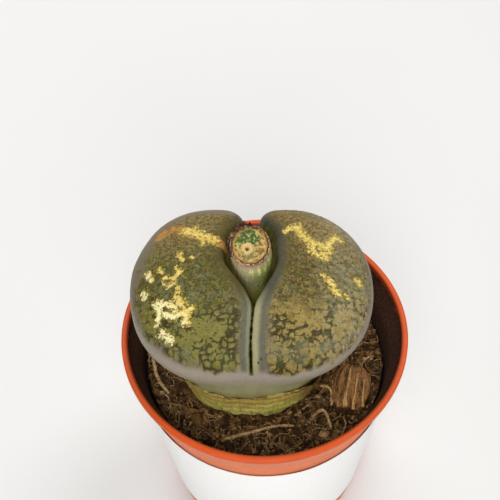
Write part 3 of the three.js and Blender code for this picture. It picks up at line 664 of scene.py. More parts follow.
def paper_finish():
    finish = Finish("label_paper", 0.55, Specular_IOR_Level=0.35)
    fibre = finish.noise(2.4, 4, 0.7, stretch=(1.0, 1.0, 0.45))
    colour = finish.blend(finish.ramp(fibre, 0.3, 0.7), srgb(232, 232, 230), srgb(238, 238, 237))
    low = finish.ramp(finish.z, LABEL_LOW[2], LABEL_LOW[2] + 2.2, 1, 0)
    stain = finish.times(low, finish.ramp(finish.noise(0.7, 4), 0.4, 0.7, 0, 0.4))
    finish.set("Base Color", finish.blend(stain, colour, srgb(196, 178, 150)))
    finish.bump(finish.noise(3.5, 4, 0.65), 0.035, 0.7)
    return finish.material


def soil_finish(name, dark, middle, light):
    finish = Finish(name, 0.9, Specular_IOR_Level=0.2)
    patch = finish.noise(1.3, 4, 0.65)
    share = finish.plus(finish.attribute("tone"), finish.centred(patch, 0.9))
    colour = finish.blend(finish.ramp(share, 0.15, 0.6), dark, middle)
    colour = finish.blend(finish.ramp(share, 0.7, 0.95), colour, light)
    rusty = finish.times(finish.ramp(finish.noise(0.6, 3), 0.52, 0.64), 0.5)
    colour = finish.blend(rusty, colour, srgb(84, 52, 28))
    grain = finish.ramp(finish.noise(7.0, 3, 0.7), 0.3, 0.7, 0.65, 1.3)
    finish.set("Base Color", finish.scaled(colour, grain))
    finish.set("Roughness", finish.ramp(patch, 0.3, 0.7, 0.78, 0.97))
    finish.bump(finish.noise(4.0, 5, 0.75), 0.22, 0.9)
    return finish.material


def wood_finish(name, dark, middle, light, stretch):
    """Streaks that run along the piece, in the direction in which stretch is smallest."""
    finish = Finish(name, 0.85, Specular_IOR_Level=0.25)
    streak = finish.noise(1.5, 4, 0.65, stretch=stretch)
    fine = finish.noise(5.0, 3, 0.7, stretch=stretch)
    share = finish.plus(finish.times(finish.plus(streak, fine), 0.5), finish.attribute("tone"))
    colour = finish.blend(finish.ramp(share, 0.38, 0.55), dark, middle)
    colour = finish.blend(finish.ramp(share, 0.55, 0.72), colour, light)
    shade = finish.ramp(finish.noise(3.0, 4), 0.3, 0.7, 0.75, 1.15)
    finish.set("Base Color", finish.scaled(colour, shade))
    finish.bump(finish.plus(streak, finish.times(fine, 0.5)), 0.2, 0.9)
    return finish.material


def old_skin_finish():
    """Yellow-green fleshy skin, with a dry brown edge at the top and papery at the right."""
    finish = Finish("old_skin", 0.6, Specular_IOR_Level=0.3, Subsurface_Weight=0.1)
    finish.set("Subsurface Scale", 1.0 * MM)
    edge = finish.attribute("edge")
    patch = finish.noise(0.35, 4, 0.6)
    colour = finish.blend(finish.ramp(patch, 0.35, 0.65), srgb(230, 218, 98), srgb(246, 236, 138))
    vein = finish.noise(1.8, 3, 0.6, stretch=(1.0, 1.0, 0.22))
    colour = finish.blend(finish.ramp(vein, 0.52, 0.68, 0, 0.55), colour, srgb(146, 116, 48))
    green = finish.times(finish.ramp(finish.noise(0.25, 2), 0.45, 0.6), finish.ramp(edge, 0.7, 0.4))
    colour = finish.blend(finish.times(green, 0.5), colour, srgb(190, 196, 84))
    papery = finish.ramp(finish.plus(finish.x, finish.centred(patch, 8)), 4, 9)
    dry = finish.plus(edge, finish.centred(finish.noise(0.9, 4, 0.68), 0.9))
    dry = finish.plus(dry, finish.times(papery, 0.25))
    colour = finish.blend(finish.ramp(dry, 0.35, 0.8, 0, 0.75), colour, srgb(176, 142, 72))
    colour = finish.blend(finish.ramp(dry, 0.9, 1.1), colour, srgb(132, 100, 52))
    colour = finish.blend(finish.times(papery, 0.55), colour, srgb(104, 76, 40))
    grain = finish.ramp(finish.noise(4.5, 3), 0.3, 0.7, 0.82, 1.12)
    finish.set("Base Color", finish.scaled(colour, grain))
    finish.bump(finish.noise(2.5, 4, 0.65, stretch=(1.0, 1.0, 0.35)), 0.14, 0.8)
    return finish.material


def capsule_finish():
    finish = Finish("capsule_skin", 0.48, Specular_IOR_Level=0.35, Subsurface_Weight=0.4)
    finish.set("Subsurface Scale", 2.0 * MM)
    finish.set("Subsurface Radius", (0.9, 1.0, 0.35))
    radius, depth = finish.attribute("radius"), finish.attribute("depth")
    behind = finish.maths("SUBTRACT", finish.y, CAPSULE_Y)
    beside = finish.maths("SUBTRACT", finish.x, CAPSULE_X)
    rough = finish.noise(1.5, 4, 0.68)

    # The cone: grey-olive at the left, fresh green at the right, cream streaks and a yellow tip.
    cone = finish.blend(finish.ramp(beside, -0.6, 2.0), srgb(206, 196, 144), srgb(160, 180, 84))
    clouds = finish.ramp(finish.noise(0.8, 4, 0.6), 0.4, 0.62)
    cone = finish.blend(finish.times(clouds, 0.5), cone, srgb(176, 182, 134))
    streak = finish.noise(1.1, 4, 0.62, stretch=(1.5, 1.5, 0.25))
    streak = finish.plus(streak, finish.ramp(depth, 5, 2, 0, 0.025))
    cone = finish.blend(finish.ramp(streak, 0.54, 0.6, 0, 0.9), cone, srgb(250, 236, 166))
    tip = finish.ramp(depth, 8.0, 12.5, 0, 0.85)
    cone = finish.blend(tip, cone, srgb(244, 234, 100))
    fleck = finish.times(finish.ramp(finish.noise(2.2, 3), 0.54, 0.62), finish.ramp(depth, 6, 11))
    cone = finish.blend(fleck, cone, srgb(250, 240, 170))
    cone = finish.blend(finish.ramp(finish.noise(2.2, 3, 0.6), 0.6, 0.7, 0, 0.4), cone, srgb(120, 104, 52))

    # The top face: green behind, cream and yellow in front, a pale star round the dark pit.
    yellow = finish.ramp(finish.noise(1.5, 3), 0.4, 0.6)
    disc = finish.blend(yellow, srgb(120, 86, 30), srgb(188, 162, 86))
    green = finish.blend(finish.ramp(finish.noise(1.9, 3), 0.42, 0.6), srgb(40, 82, 24), srgb(104, 118, 38))

    def patch(right, narrow, back, shallow, ragged):
        """About 1 on the edge of a ragged oval round (right, back) on the top face, less inside;
        narrow and shallow are one over its half width and its half depth."""
        along = finish.maths("POWER", finish.times(finish.plus(beside, -right), narrow), 2.0)
        over = finish.maths("POWER", finish.times(finish.plus(behind, -back), shallow), 2.0)
        return finish.plus(finish.plus(along, over), finish.centred(rough, ragged))

    disc = finish.blend(finish.ramp(patch(-0.6, 0.38, 1.45, 0.58, 1.6), 1.05, 0.8), disc, green)
    smudge = patch(-0.35, 0.75, -1.75, 1.5, 1.5)
    disc = finish.blend(finish.ramp(smudge, 1.1, 0.6, 0, 0.8), disc, srgb(112, 112, 68))
    fleck = finish.ramp(finish.noise(1.9, 3, 0.6), 0.57, 0.62, 0, 0.55)
    disc = finish.blend(fleck, disc, srgb(216, 198, 112))
    scuffed = finish.ramp(finish.noise(1.7, 4, 0.75, place=finish.warped(finish.place, 1.0, 0.5)), 0.53, 0.6)
    disc = finish.blend(finish.times(scuffed, 0.7), disc, srgb(84, 66, 32))
    star = finish.plus(finish.attribute("star"), finish.centred(rough, 2.2))
    disc = finish.blend(finish.ramp(star, 1.2, 1.0), disc, srgb(204, 174, 112))
    disc = finish.blend(finish.ramp(finish.attribute("star"), 0.45, 0.22), disc, srgb(70, 38, 14))
    ring = finish.plus(radius, finish.centred(rough, 1.5))
    disc = finish.blend(finish.ramp(ring, 2.7, 2.95, 0, 0.5), disc, srgb(204, 160, 78))
    disc = finish.blend(finish.ramp(ring, 3.1, 3.3, 0, 0.95), disc, srgb(62, 30, 16))
    husk = finish.blend(finish.ramp(finish.noise(2.6, 4, 0.7), 0.44, 0.58), srgb(112, 76, 58),
                        srgb(206, 178, 134))
    disc = finish.blend(finish.ramp(ring, 3.5, 3.7), disc, husk)

    colour = finish.blend(finish.ramp(depth, 0.95, 0.6), cone, disc)
    under = finish.plus(depth, finish.centred(rough, 1.2))
    under = finish.times(finish.ramp(under, 0.5, 0.75), finish.ramp(under, 1.9, 1.1))
    in_front = finish.ramp(finish.plus(behind, finish.centred(rough, 3)), 0.5, -2, 0.2, 0.65)
    under = finish.times(under, in_front)
    colour = finish.blend(under, colour, srgb(168, 126, 112))
    grain = finish.ramp(finish.noise(6.0, 3), 0.3, 0.7, 0.8, 1.15)
    finish.set("Base Color", finish.scaled(colour, grain))
    finish.bump(finish.plus(rough, finish.noise(5.0, 3)), 0.12, 0.8)
    return finish.material


# ---- The leaf pair -----------------------------------------------------------------------
def slit_middle(y):
    near_capsule = np.exp(-(((y - CAPSULE_Y) / 4) ** 2))
    bend = SLIT_BACK_SHIFT * smooth_step(-14, 0, y)
    return SLIT_FRONT_X + bend + SLIT_CAPSULE_SHIFT * near_capsule


def lobe_field(side, x, y, z):
    lobe = LOBES[side]
    u = side * (x - PLANT_X) - lobe["out"]
    v = y - lobe["back"]
    w = z - SHOULDER_Z
    plan = (np.abs(u / lobe["half_width"]) ** PLAN_POWER
            + np.abs(v / lobe["half_depth"]) ** PLAN_POWER) ** (1 / PLAN_POWER)
    height = np.abs(w / np.where(w > 0, lobe["rise"], LOBE_UNDERCUT))
    reach = (plan**CROWN_POWER + height**CROWN_POWER) ** (1 / CROWN_POWER)
    return np.sqrt(u**2 + v**2 + w**2) * (reach - 1) / np.maximum(reach, 1e-6)


def body_field(x, y, z):
    u, v = x - PLANT_X, y - PLANT_Y
    half_depth = np.where(v < 0, np.interp(z, BODY_Z, BODY_FRONT), np.interp(z, BODY_Z, BODY_BACK))
    reach = (np.abs(u / np.interp(z, BODY_Z, BODY_HALF_WIDTH)) ** BODY_POWER
             + np.abs(v / half_depth) ** BODY_POWER) ** (1 / BODY_POWER)
    side = 0.93 * np.hypot(u, v) * (reach - 1) / np.maximum(reach, 1e-6)
    return rounded_max(rounded_max(side, z - BODY_TOP, 5), BODY_Z[0] - z, 1)


def flesh_field(x, y, z):
    """The lobes and the body under them, before the fissure is cut."""
    lobes = rounded_min(lobe_field(-1, x, y, z), lobe_field(1, x, y, z), 1.5)
    return rounded_min(lobes, body_field(x, y, z), 4)


def fissure_field(x, y, z):
    """Positive inside the fissure."""
    spread = (FISSURE_HALF_WIDTH * smooth_step(-6.5, CAPSULE_Y - 0.7, y)
              - FISSURE_BACK_CLOSING * smooth_step(10, 19, y))
    bottom = mix(FISSURE_FRONT_BOTTOM, FISSURE_BOTTOM, smooth_step(-16, -1, y))
    share = np.clip((z - bottom) / (CROWN_Z - bottom), 0, 1.2) ** FISSURE_OPENING_POWER
    slit = SLIT_HALF_WIDTH * (1 + 0.45 * np.sin(1.3 * y + 1) * np.sin(3.1 * y))
    slit = slit * mix(0.65, 1, smooth_step(-14, -8, y))
    return np.minimum(slit + spread * share - np.abs(x - slit_middle(y)), z - bottom)


def leaf_field(x, y, z):
    edge_rounding = mix(0.6, 4, smooth_step(2, 18, y))
    return rounded_max(flesh_field(x, y, z), fissure_field(x, y, z), edge_rounding)


def graded_lines(low, high, centre, fine, coarse, fine_reach):
    """Grid lines that are close together round the centre and wider apart away from it."""
    lines = [centre]
    for direction in (-1, 1):
        place = centre
        while low < place < high:
            share = smooth_step(fine_reach, fine_reach * 3, abs(place - centre))
            place += direction * mix(fine, coarse, share)
            lines.append(place)
    return np.array(sorted(lines))


def net_surface(field, lines):
    """The surface where a field is zero: one point in each grid cell that it passes through."""
    places = np.stack(np.meshgrid(*lines, indexing="ij"), axis=-1)
    values = field(places[..., 0], places[..., 1], places[..., 2])
    inside = values < 0
    cells = tuple(n - 1 for n in inside.shape)
    sums, counts = np.zeros((*cells, 3)), np.zeros(cells)
    crossings = []
    for axis in range(3):
        low = tuple(slice(0, -1) if n == axis else slice(None) for n in range(3))
        high = tuple(slice(1, None) if n == axis else slice(None) for n in range(3))
        crossed = inside[low] != inside[high]
        crossings.append(crossed)
        fall = np.where(crossed, values[low] - values[high], 1)
        share = np.where(crossed, values[low] / fall, 0)[..., None]
        point = mix(places[low], places[high], share)
        for corner in itertools.product((slice(0, -1), slice(1, None)), repeat=2):
            part = list(corner)
            part.insert(axis, slice(None))
            part = tuple(part)
            sums += point[part] * crossed[part][..., None]
            counts += crossed[part]
    used = counts > 0
    index = np.full(cells, -1)
    index[used] = np.arange(used.sum())
    quads = []
    for axis in range(3):
        one, two = (axis + 1) % 3, (axis + 2) % 3
        inner = tuple(slice(None) if n == axis else slice(1, -1) for n in range(3))
        start = np.argwhere(crossings[axis][inner])
        start[:, one] += 1
        start[:, two] += 1
        corners = []
        for step_one, step_two in ((-1, -1), (0, -1), (0, 0), (-1, 0)):
            cell = start.copy()
            cell[:, one] += step_one
            cell[:, two] += step_two
            corners.append(index[tuple(cell.T)])
        quad = np.stack(corners, axis=1)
        outside = ~inside[tuple(start.T)]
        quad[outside] = quad[outside][:, ::-1]
        quads.append(quad)
    return sums[used] / counts[used][:, None], np.concatenate(quads)


def slope(field, points, reach=0.04):
    """The field's gradient at each point."""
    steps = np.eye(3) * reach
    return np.stack([(field(*(points + step).T) - field(*(points - step).T)) / (2 * reach)
                     for step in steps], axis=1)


def add_leaf_pair():
    lines = [
        graded_lines(-27, 23, SLIT_FRONT_X + SLIT_BACK_SHIFT / 2, SLIT_CELL, SKIN_CELL, 1),
        graded_lines(-18, 23, 0.1, SKIN_CELL, SKIN_CELL, 1),
        graded_lines(22, 70, 62.0, SKIN_CELL, ROOT_CELL, 8),
    ]
    points, quads = net_surface(leaf_field, lines)
    for _ in range(2):
        gradient = slope(leaf_field, points)
        steep = np.maximum((gradient**2).sum(axis=1), 0.2)
        points = points - np.clip(leaf_field(*points.T) / steep, -0.2, 0.2)[:, None] * gradient
    normals = slope(leaf_field, points)
    normals /= np.linalg.norm(normals, axis=1, keepdims=True)

    x, y, z = points.T
    side = np.where(x < slit_middle(y), -1, 1)
    left = side < 0
    u = x - PLANT_X - side * np.where(left, LOBES[-1]["out"], LOBES[1]["out"])
    v = y - np.where(left, LOBES[-1]["back"], LOBES[1]["back"])
    spread = np.hypot(u, v)
    # The pattern is laid on from above, so its islands are drawn out down the shoulder.
    stretch = 1 + 0.3 * (CROWN_Z - z) / np.maximum(spread, 1)
    pattern = np.stack([u * stretch + 60 * side, v * stretch, np.zeros_like(u)], axis=1)
    flat = pattern[:, :2]
    flat = flat + 0.55 * np.stack([value_noise(flat, 0.9, 1), value_noise(flat, 0.9, 2)], axis=1)
    island = cell_borders(flat, 1.3, 5)
    front = 0.1 + 0.8 * smooth_step(1, -11, y) + 0.3 * smooth_step(9, 15, spread)
    front = np.clip(front, 0, 1)

    # How far inside its window each point lies, in millimetres; negative on the margin.
    fissure = np.clip(-fissure_field(x, y, z), 0, 6)
    band_width = np.where(left, mix(1.5, 0.3, smooth_step(-2, 4, y)),
                          mix(2.6, 0.9, smooth_step(-6, 5, y)))
    level = np.where(left, 61.1 + 4.5 * smooth_step(-18, 10, y), 59.6 + 3.6 * smooth_step(-17, 2, y))
    level = level - 6 * smooth_step(4, -5, side * u) * smooth_step(-8, 0, y) * smooth_step(18, 12, y)
    rays = np.stack([13 * np.arctan2(v, u), 0.4 * (spread + CROWN_Z - z)], axis=1)
    from_margin = 0.9 * (z - level) + 1.0 * fractal(rays, 1.0, 2, 9) + 0.7 * value_noise(flat, 0.8, 14)
    from_band = 0.75 * (fissure - band_width) + 0.5 * fractal(points, 0.8, 2, 12)
    window = np.clip(np.minimum(from_margin, from_band), -3, 6)

    relief = 0.2 * value_noise(points, 0.11, 3) + 0.035 * fractal(points, 0.8, 3, 4)
    relief += 0.08 * smooth_step(0, 1, window) * (smooth_step(0.05, 0.4, island) - 0.6)
    neck = smooth_step(56, 48, z)
    angle = np.arctan2(y - PLANT_Y, x - PLANT_X)
    relief += neck * 0.12 * np.sin(19 * angle + 2 * value_noise(points, 0.2, 6))
    on_top = z > SHOULDER_Z
    scar = np.where(on_top, nearness(points[:, :2], CREAM_SCARS), -1)
    arc = np.where(on_top, nearness(points[:, :2], WOUND_ARC), -1)
    relief -= 0.1 * smooth_step(0, 0.8, scar) + 0.14 * smooth_step(0, 0.8, arc)
    points = points + normals * relief[:, None]
    piece = make_object("leaf_pair_skin", points, [quads], leaf_finish(), "leaf_skin",
                        pattern=pattern, side=np.maximum(side, 0).astype(float), front=front,
                        island=island, window=window, fissure=fissure, scar=scar, arc=arc,
                        band=fissure / band_width)
    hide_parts("leaf_pair")


# ---- Pot and sleeve ----------------------------------------------------------------------
def wall_radius(z):
    """The pot's outer wall: a cone that turns outwards above the start of the flare."""
    taper = WALL_TAPER * (FLARE_START - np.minimum(z, FLARE_START))
    flare = smooth_step(FLARE_START, POT_HEIGHT - RIM_LIP + 0.2, z)
    return WALL_TOP_RADIUS - taper + (RIM_RADIUS - 0.15 - WALL_TOP_RADIUS) * flare


def inner_radius(z):
    return wall_radius(z) - WALL_THICKNESS


def rounded_corner(radius, z, size, start, end, steps=5):
    """Points on an arc of the given size round (radius, z), from one angle in degrees to another."""
    angles = np.radians(np.linspace(start, end, steps))
    return [(radius + size * math.cos(a), z + size * math.sin(a)) for a in angles]


def pot_outline():
    foot = wall_radius(0)
    floor = FLOOR_RECESS + FLOOR_THICKNESS
    lip_foot = POT_HEIGHT - RIM_LIP
    line = [(0.4, FLOOR_RECESS), (2.4, FLOOR_RECESS), (2.7, FLOOR_RECESS - 0.25), (3.1, FLOOR_RECESS)]
    line += [(foot - FOOT_WIDTH - 0.6, FLOOR_RECESS)]
    line += rounded_corner(foot - FOOT_WIDTH + 0.15, 0.25, 0.25, 180, 270)
    line += rounded_corner(foot - 0.35, 0.35, 0.35, 270, 358)
    line += [(wall_radius(z), z) for z in np.linspace(1.2, lip_foot, 40)]
    line += [(RIM_RADIUS - 0.05, lip_foot + 0.25), (RIM_RADIUS, lip_foot + 0.5)]
    line += rounded_corner(RIM_RADIUS - RIM_ROUNDING, POT_HEIGHT - RIM_ROUNDING, RIM_ROUNDING, 0, 90, 7)
    line += rounded_corner(RIM_RADIUS - RIM_THICKNESS + 0.4, POT_HEIGHT - 0.4, 0.4, 90, 180, 6)
    line += [(inner_radius(z), z) for z in np.linspace(lip_foot - 0.3, floor + 1.4, 44)]
    line += [(inner_radius(floor) - 0.3, floor + 0.45), (inner_radius(floor) - 0.9, floor + 0.05)]
    line += [(0.4, floor)]
    return np.array(line)


def add_pot():
    line = pot_outline()
    angle = np.linspace(0, 2 * math.pi, POT_STEPS, endpoint=False)
    sway = 0.05 * (np.sin(3 * angle + 1) - 1) * smooth_step(20, POT_HEIGHT, line[:, 1:])
    radius = line[:, :1] + sway
    points, faces = turned_body(radius, np.repeat(line[:, 1:], POT_STEPS, axis=1),
                                foot=(0, 0, FLOOR_RECESS), top=(0, 0, FLOOR_RECESS + FLOOR_THICKNESS))
    piece = make_object("pot_shell", points, faces, plastic_finish(), "pot_plastic")
    for i in range(DRAIN_COUNT):
        turn = 2 * math.pi * (i + 0.5) / DRAIN_COUNT
        cut_round_hole(piece, DRAIN_CIRCLE_RADIUS * math.cos(turn), DRAIN_CIRCLE_RADIUS * math.sin(turn),
                       DRAIN_RADIUS)
    mesh = piece.data
    places = np.empty(3 * len(mesh.vertices))
    mesh.vertices.foreach_get("co", places)
    x, y, z = places.reshape(-1, 3).T / MM
    axis_distance = np.hypot(x, y)
    add_attribute(mesh, "axis_distance", axis_distance)
    add_attribute(mesh, "inside", axis_distance < wall_radius(z) - WALL_THICKNESS / 2)
    mesh.set_sharp_from_angle(angle=math.radians(38))
    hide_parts("pot")


def cut_round_hole(piece, x, y, radius):
    """Drills a hole through the pot's floor."""
    steps, low, high = 40, -2, 5
    grid = np.full((2, steps), radius)
    points, faces = turned_body(grid, np.array([[low] * steps, [high] * steps]), x, y,
                                foot=(x, y, low), top=(x, y, high))
    mesh = bpy.data.meshes.new("drill")
    mesh.from_pydata(points * MM, [], faces[0].tolist() + faces[1].tolist())
    drill = linked("drill", mesh)
    cut = piece.modifiers.new("cut", "BOOLEAN")
    cut.operation, cut.object, cut.solver = "DIFFERENCE", drill, "EXACT"
    whole = piece.data
    evaluated = piece.evaluated_get(bpy.context.evaluated_depsgraph_get())
    piece.data = bpy.data.meshes.new_from_object(evaluated)
    piece.modifiers.clear()
    bpy.data.meshes.remove(whole)
    bpy.data.objects.remove(drill)


def add_label():
    """A paper band that overlaps itself by a few millimetres at the back."""
    turn = np.linspace(0, 2 * math.pi + LABEL_OVERLAP, 420)
    height = np.linspace(LABEL_LOW[2], LABEL_HIGH[2], 36)
    angle, z = np.meshgrid(turn + LABEL_SEAM, height)
    lap = smooth_step(2 * math.pi - 0.1, 2 * math.pi + 0.03, turn)
    ripple = 0.03 * value_noise(polar(20, angle, z).reshape(-1, 3), 0.25, 8).reshape(z.shape)
    outer = wall_radius(z) + LABEL_STAND_OFF + 0.2 * lap + ripple
    z = z + np.where(z == height[0], 0.12 * np.abs(np.sin(3 * angle + 1)), 0)
    points, faces = slab(polar(outer, angle, z), polar(outer - LABEL_THICKNESS, angle, z))
    piece = make_object("label_sleeve", points, faces, paper_finish(), "label_paper", sharp=50)
    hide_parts("pot_label")


# ---- Soil --------------------------------------------------------------------------------
def soil_height(x, y):
    return (SOIL_LEVEL + 0.5 * np.sin(0.55 * x + 0.3 * y + 1.3)
            + 0.45 * np.sin(0.38 * x - 0.61 * y + 4) + 0.35 * np.sin(0.95 * x + 0.85 * y + 2.1)
            + 0.25 * np.sin(1.5 * x - 1.3 * y + 5.2))


def neck_radius(angle, z):
    """How far the plant's neck reaches from its axis, at each angle and level."""
    inside, outside = np.zeros_like(angle), np.full_like(angle, 18.0)
    for _ in range(24):
        middle = (inside + outside) / 2
        x, y = PLANT_X + middle * np.cos(angle), PLANT_Y + middle * np.sin(angle)
        within = flesh_field(x, y, z) < 0
        inside, outside = np.where(within, middle, inside), np.where(within, outside, middle)
    return inside


def wall_reach(angle, radius):
    """Distance from the plant's axis to a circle round the pot's axis."""
    along = PLANT_X * np.cos(angle) + PLANT_Y * np.sin(angle)
    return -along + np.sqrt(along**2 - (PLANT_X**2 + PLANT_Y**2 - radius**2))


def add_soil(finish):
    """The filled ground: a rough top, the side by the pot's wall, and the bottom on its floor."""
    columns, rings, core_z = 420, 56, 36.0
    angle = np.linspace(0, 2 * math.pi, columns, endpoint=False)
    floor = FLOOR_RECESS + FLOOR_THICKNESS + SEAT_GAP
    clear = SEAT_GAP + 0.2

    def even(value):
        return np.full(columns, value)

    rows = [(even(0.3), even(floor)),
            (wall_reach(angle, inner_radius(floor) - clear - 1.4), even(floor))]
    for z in (floor + 1.5, 20.0, 38.0):
        rows.append((wall_reach(angle, inner_radius(z) - clear), even(z)))
    edge = wall_reach(angle, inner_radius(39.2) - clear)
    hole = neck_radius(angle, even(SOIL_LEVEL)) - 0.4
    for share in np.linspace(0, 1, rings):
        radius = mix(edge, hole, share)
        x, y = PLANT_X + radius * np.cos(angle), PLANT_Y + radius * np.sin(angle)
        places = np.stack([x, y, even(0.0)], axis=1)
        rough = 0.9 * fractal(places, 0.4, 4, 21) + 0.35 * np.abs(value_noise(places, 1.5, 25))
        rows.append((radius, soil_height(x, y) - 0.2 + rough))
    rows.append((even(0.3), even(core_z)))
    radius, z = np.array([row[0] for row in rows]), np.array([row[1] for row in rows])
    points, faces = turned_body(radius, z, PLANT_X, PLANT_Y, foot=(PLANT_X, PLANT_Y, floor),
                                top=(PLANT_X, PLANT_Y, core_z))
    tone = 0.32 + 0.3 * fractal(points, 0.8, 3, 31)
    piece = make_object("soil_ground", points, faces, finish, "soil_mix", tone=tone)
    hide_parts("soil")


ANGLES = np.linspace(0, 2 * math.pi, 361)
NECK_AT_SOIL = neck_radius(ANGLES, np.full(ANGLES.shape, SOIL_LEVEL + 1.0))


def soil_place(rng, clear_of_neck, clear_of_wall):
    """A random place on the open soil."""
    angle = rng.uniform(0, 2 * math.pi)
    near = np.interp(angle, ANGLES, NECK_AT_SOIL) + clear_of_neck
    far = wall_reach(angle, inner_radius(SOIL_LEVEL) - clear_of_wall)
    radius = math.sqrt(rng.uniform(near**2, far**2))
    return PLANT_X + radius * math.cos(angle), PLANT_Y + radius * math.sin(angle)


def lump(rng, shape, size, flatness=(0.45, 0.75)):
    """A crumb: a dented ball, flattened and turned at random."""
    dented = shape * (1 + 0.34 * value_noise(shape + rng.uniform(0, 50), 1.6, 41)[:, None])
    stretch = np.array([1, rng.uniform(flatness[0], 0.9), rng.uniform(*flatness)]) * size
    return turned(dented * stretch, rng.uniform(0, 6.3), rng.uniform(-0.6, 0.6), rng.uniform(-0.6, 0.6))


def add_crumbs(finish):
    """Peat and bark crumbs in three sizes, each dented and flattened in its own way."""
    rng = random.Random(7)
    large, large_faces = ball(2)
    dents = 1 + 0.35 * value_noise(large, 1.7, 40) + 0.16 * value_noise(large, 4.1, 42)
    large = large * dents[:, None]
    small = ball(1)
    heap = Heap()
    for (count, low, high), (shape, faces) in zip(CRUMB_SIZES, ((large, large_faces), small, small)):
        for _ in range(count):
            size = mix(low, high, rng.random() ** 1.7)
            x, y = soil_place(rng, 1.0 + 0.4 * size, 0.3 + size)
            z = soil_height(x, y) + rng.uniform(-0.1, 0.5) * size + rng.uniform(0, 0.35)
            heap.add(lump(rng, shape, size) + [x, y, z], [faces], rng.random() ** 1.4 * 0.95)
    heap.make("soil_crumbs", finish, "soil_mix")


def add_fibres(finish):
    """Fine dead roots and coir strands that wander over the soil."""
    rng = random.Random(19)
    heap = Heap()
    steps, sections = 7, 12
    limit = inner_radius(SOIL_LEVEL) - 0.9
    for _ in range(FIBRE_COUNT):
        x, y = soil_place(rng, 1.2, 1.2)
        heading, length = rng.uniform(0, 2 * math.pi), mix(1.5, 9.5, rng.random() ** 1.8)
        bend = rng.uniform(-0.35, 0.35)
        route = []
        for i in range(steps):
            arch = 0.9 * math.sin(math.pi * i / (steps - 1)) * rng.random()
            route.append((x, y, soil_height(x, y) + 0.35 + arch))
            heading += bend + rng.uniform(-0.3, 0.3)
            x, y = x + length / steps * math.cos(heading), y + length / steps * math.sin(heading)
            outside = max(1, math.hypot(x, y) / limit)
            x, y = x / outside, y / outside
        radii = mix(0.06, 0.22, rng.random() ** 2) * np.linspace(1.1, 0.5, sections)
        radii *= 1 + 0.2 * np.sin(np.arange(sections) * 2.1 + x)
        heap.add(*tube(smooth_path(route, sections), radii, 5), rng.uniform(-0.12, 0.16))
    heap.make("soil_fibres", finish, "root_fibre")


def add_shards(finish):
    """Flat splinters of bark among the crumbs."""
    rng = random.Random(23)
    heap = Heap()
    u, v = np.meshgrid(np.linspace(-1, 1, 5), np.linspace(-1, 1, 7))
    along = np.stack([u.ravel() * 3, v.ravel() * 0.1], axis=1)
    for _ in range(SHARD_COUNT):
        length, width = rng.uniform(1.4, 4.6), rng.uniform(0.5, 1.4)
        torn = 1 + 0.3 * value_noise(along, 1, rng.randrange(90)).reshape(u.shape)
        top = np.stack([u * width / 2 * (1 - 0.25 * v**2), v * length / 2 * torn,
                        0.16 * np.cos(u * 2.2 + 1) + 0.1 * np.sin(7 * u)], axis=-1)
        points, faces = slab(top, top - [0, 0, rng.uniform(0.25, 0.5)])
        points = turned(points, rng.uniform(0, 6.3), rng.uniform(-0.5, 0.5), rng.uniform(-0.45, 0.45))
        x, y = soil_place(rng, 1.2 + length / 2, 0.6 + length / 2)
        z = soil_height(x, y) + 0.35 + rng.random() * 0.3
        heap.add(points + [x, y, z], faces, rng.uniform(-0.2, 0.14))
    heap.make("bark_shards", finish, "bark", sharp=55)


# ---- Bark chips and thicker roots --------------------------------------------------------
def add_chip(name, chip, seed):
    """A weathered piece of bark: split fibres run along it and its ends are torn."""
    width, length, height = chip["size"]
    u, v = np.meshgrid(np.linspace(-1, 1, 72), np.linspace(-1, 1, 76))
    across = np.stack([u.ravel() * width, v.ravel() * length * 0.12], axis=1)
    both = np.stack([u.ravel() * width, v.ravel() * length], axis=1)
    split = fractal(across, 0.9, 4, seed).reshape(u.shape)
    swell = fractal(both, 0.28, 3, seed + 9).reshape(u.shape)
    crumble = fractal(both, 1.4, 3, seed + 12).reshape(u.shape)
    torn = value_noise(across * [3, 0.1], 1, seed + 4).reshape(u.shape)
    ragged = 0.06 * value_noise(across, 0.8, seed + 5).reshape(u.shape)
    x = u * width / 2 * (1 + ragged) * (1 - CHIP_END_TAPER * v**2) * (1 - 0.3 * v**6)
    y = v * length / 2 * (1 - 0.09 * np.abs(torn))
    top = height / 2 * (0.15 + 0.8 * (1 - np.abs(u) ** 3) * (1 - 0.6 * v**4))
    top += 0.45 * split + 0.35 * swell + 0.15 * crumble
    front = np.stack([x, y, np.minimum(top, height / 2)], axis=-1)
    back = np.stack([x * 0.96, y * 0.97, np.full_like(x, -height / 2)], axis=-1)
    points, faces = slab(front, back)
    tone = 0.12 * np.concatenate([split.ravel(), split.ravel() - 1])
    points = turned(points, chip["turn"], chip["tilt"], 0) + chip["place"]
    shades = srgb(72, 48, 26), srgb(140, 98, 56), srgb(182, 130, 76)
    finish = wood_finish(name + "_bark", *shades, stretch=(1.0, 0.18, 1.0))
    piece = make_object(name + "_grain", points, faces, finish, "bark", sharp=60, tone=tone)
    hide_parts(name)


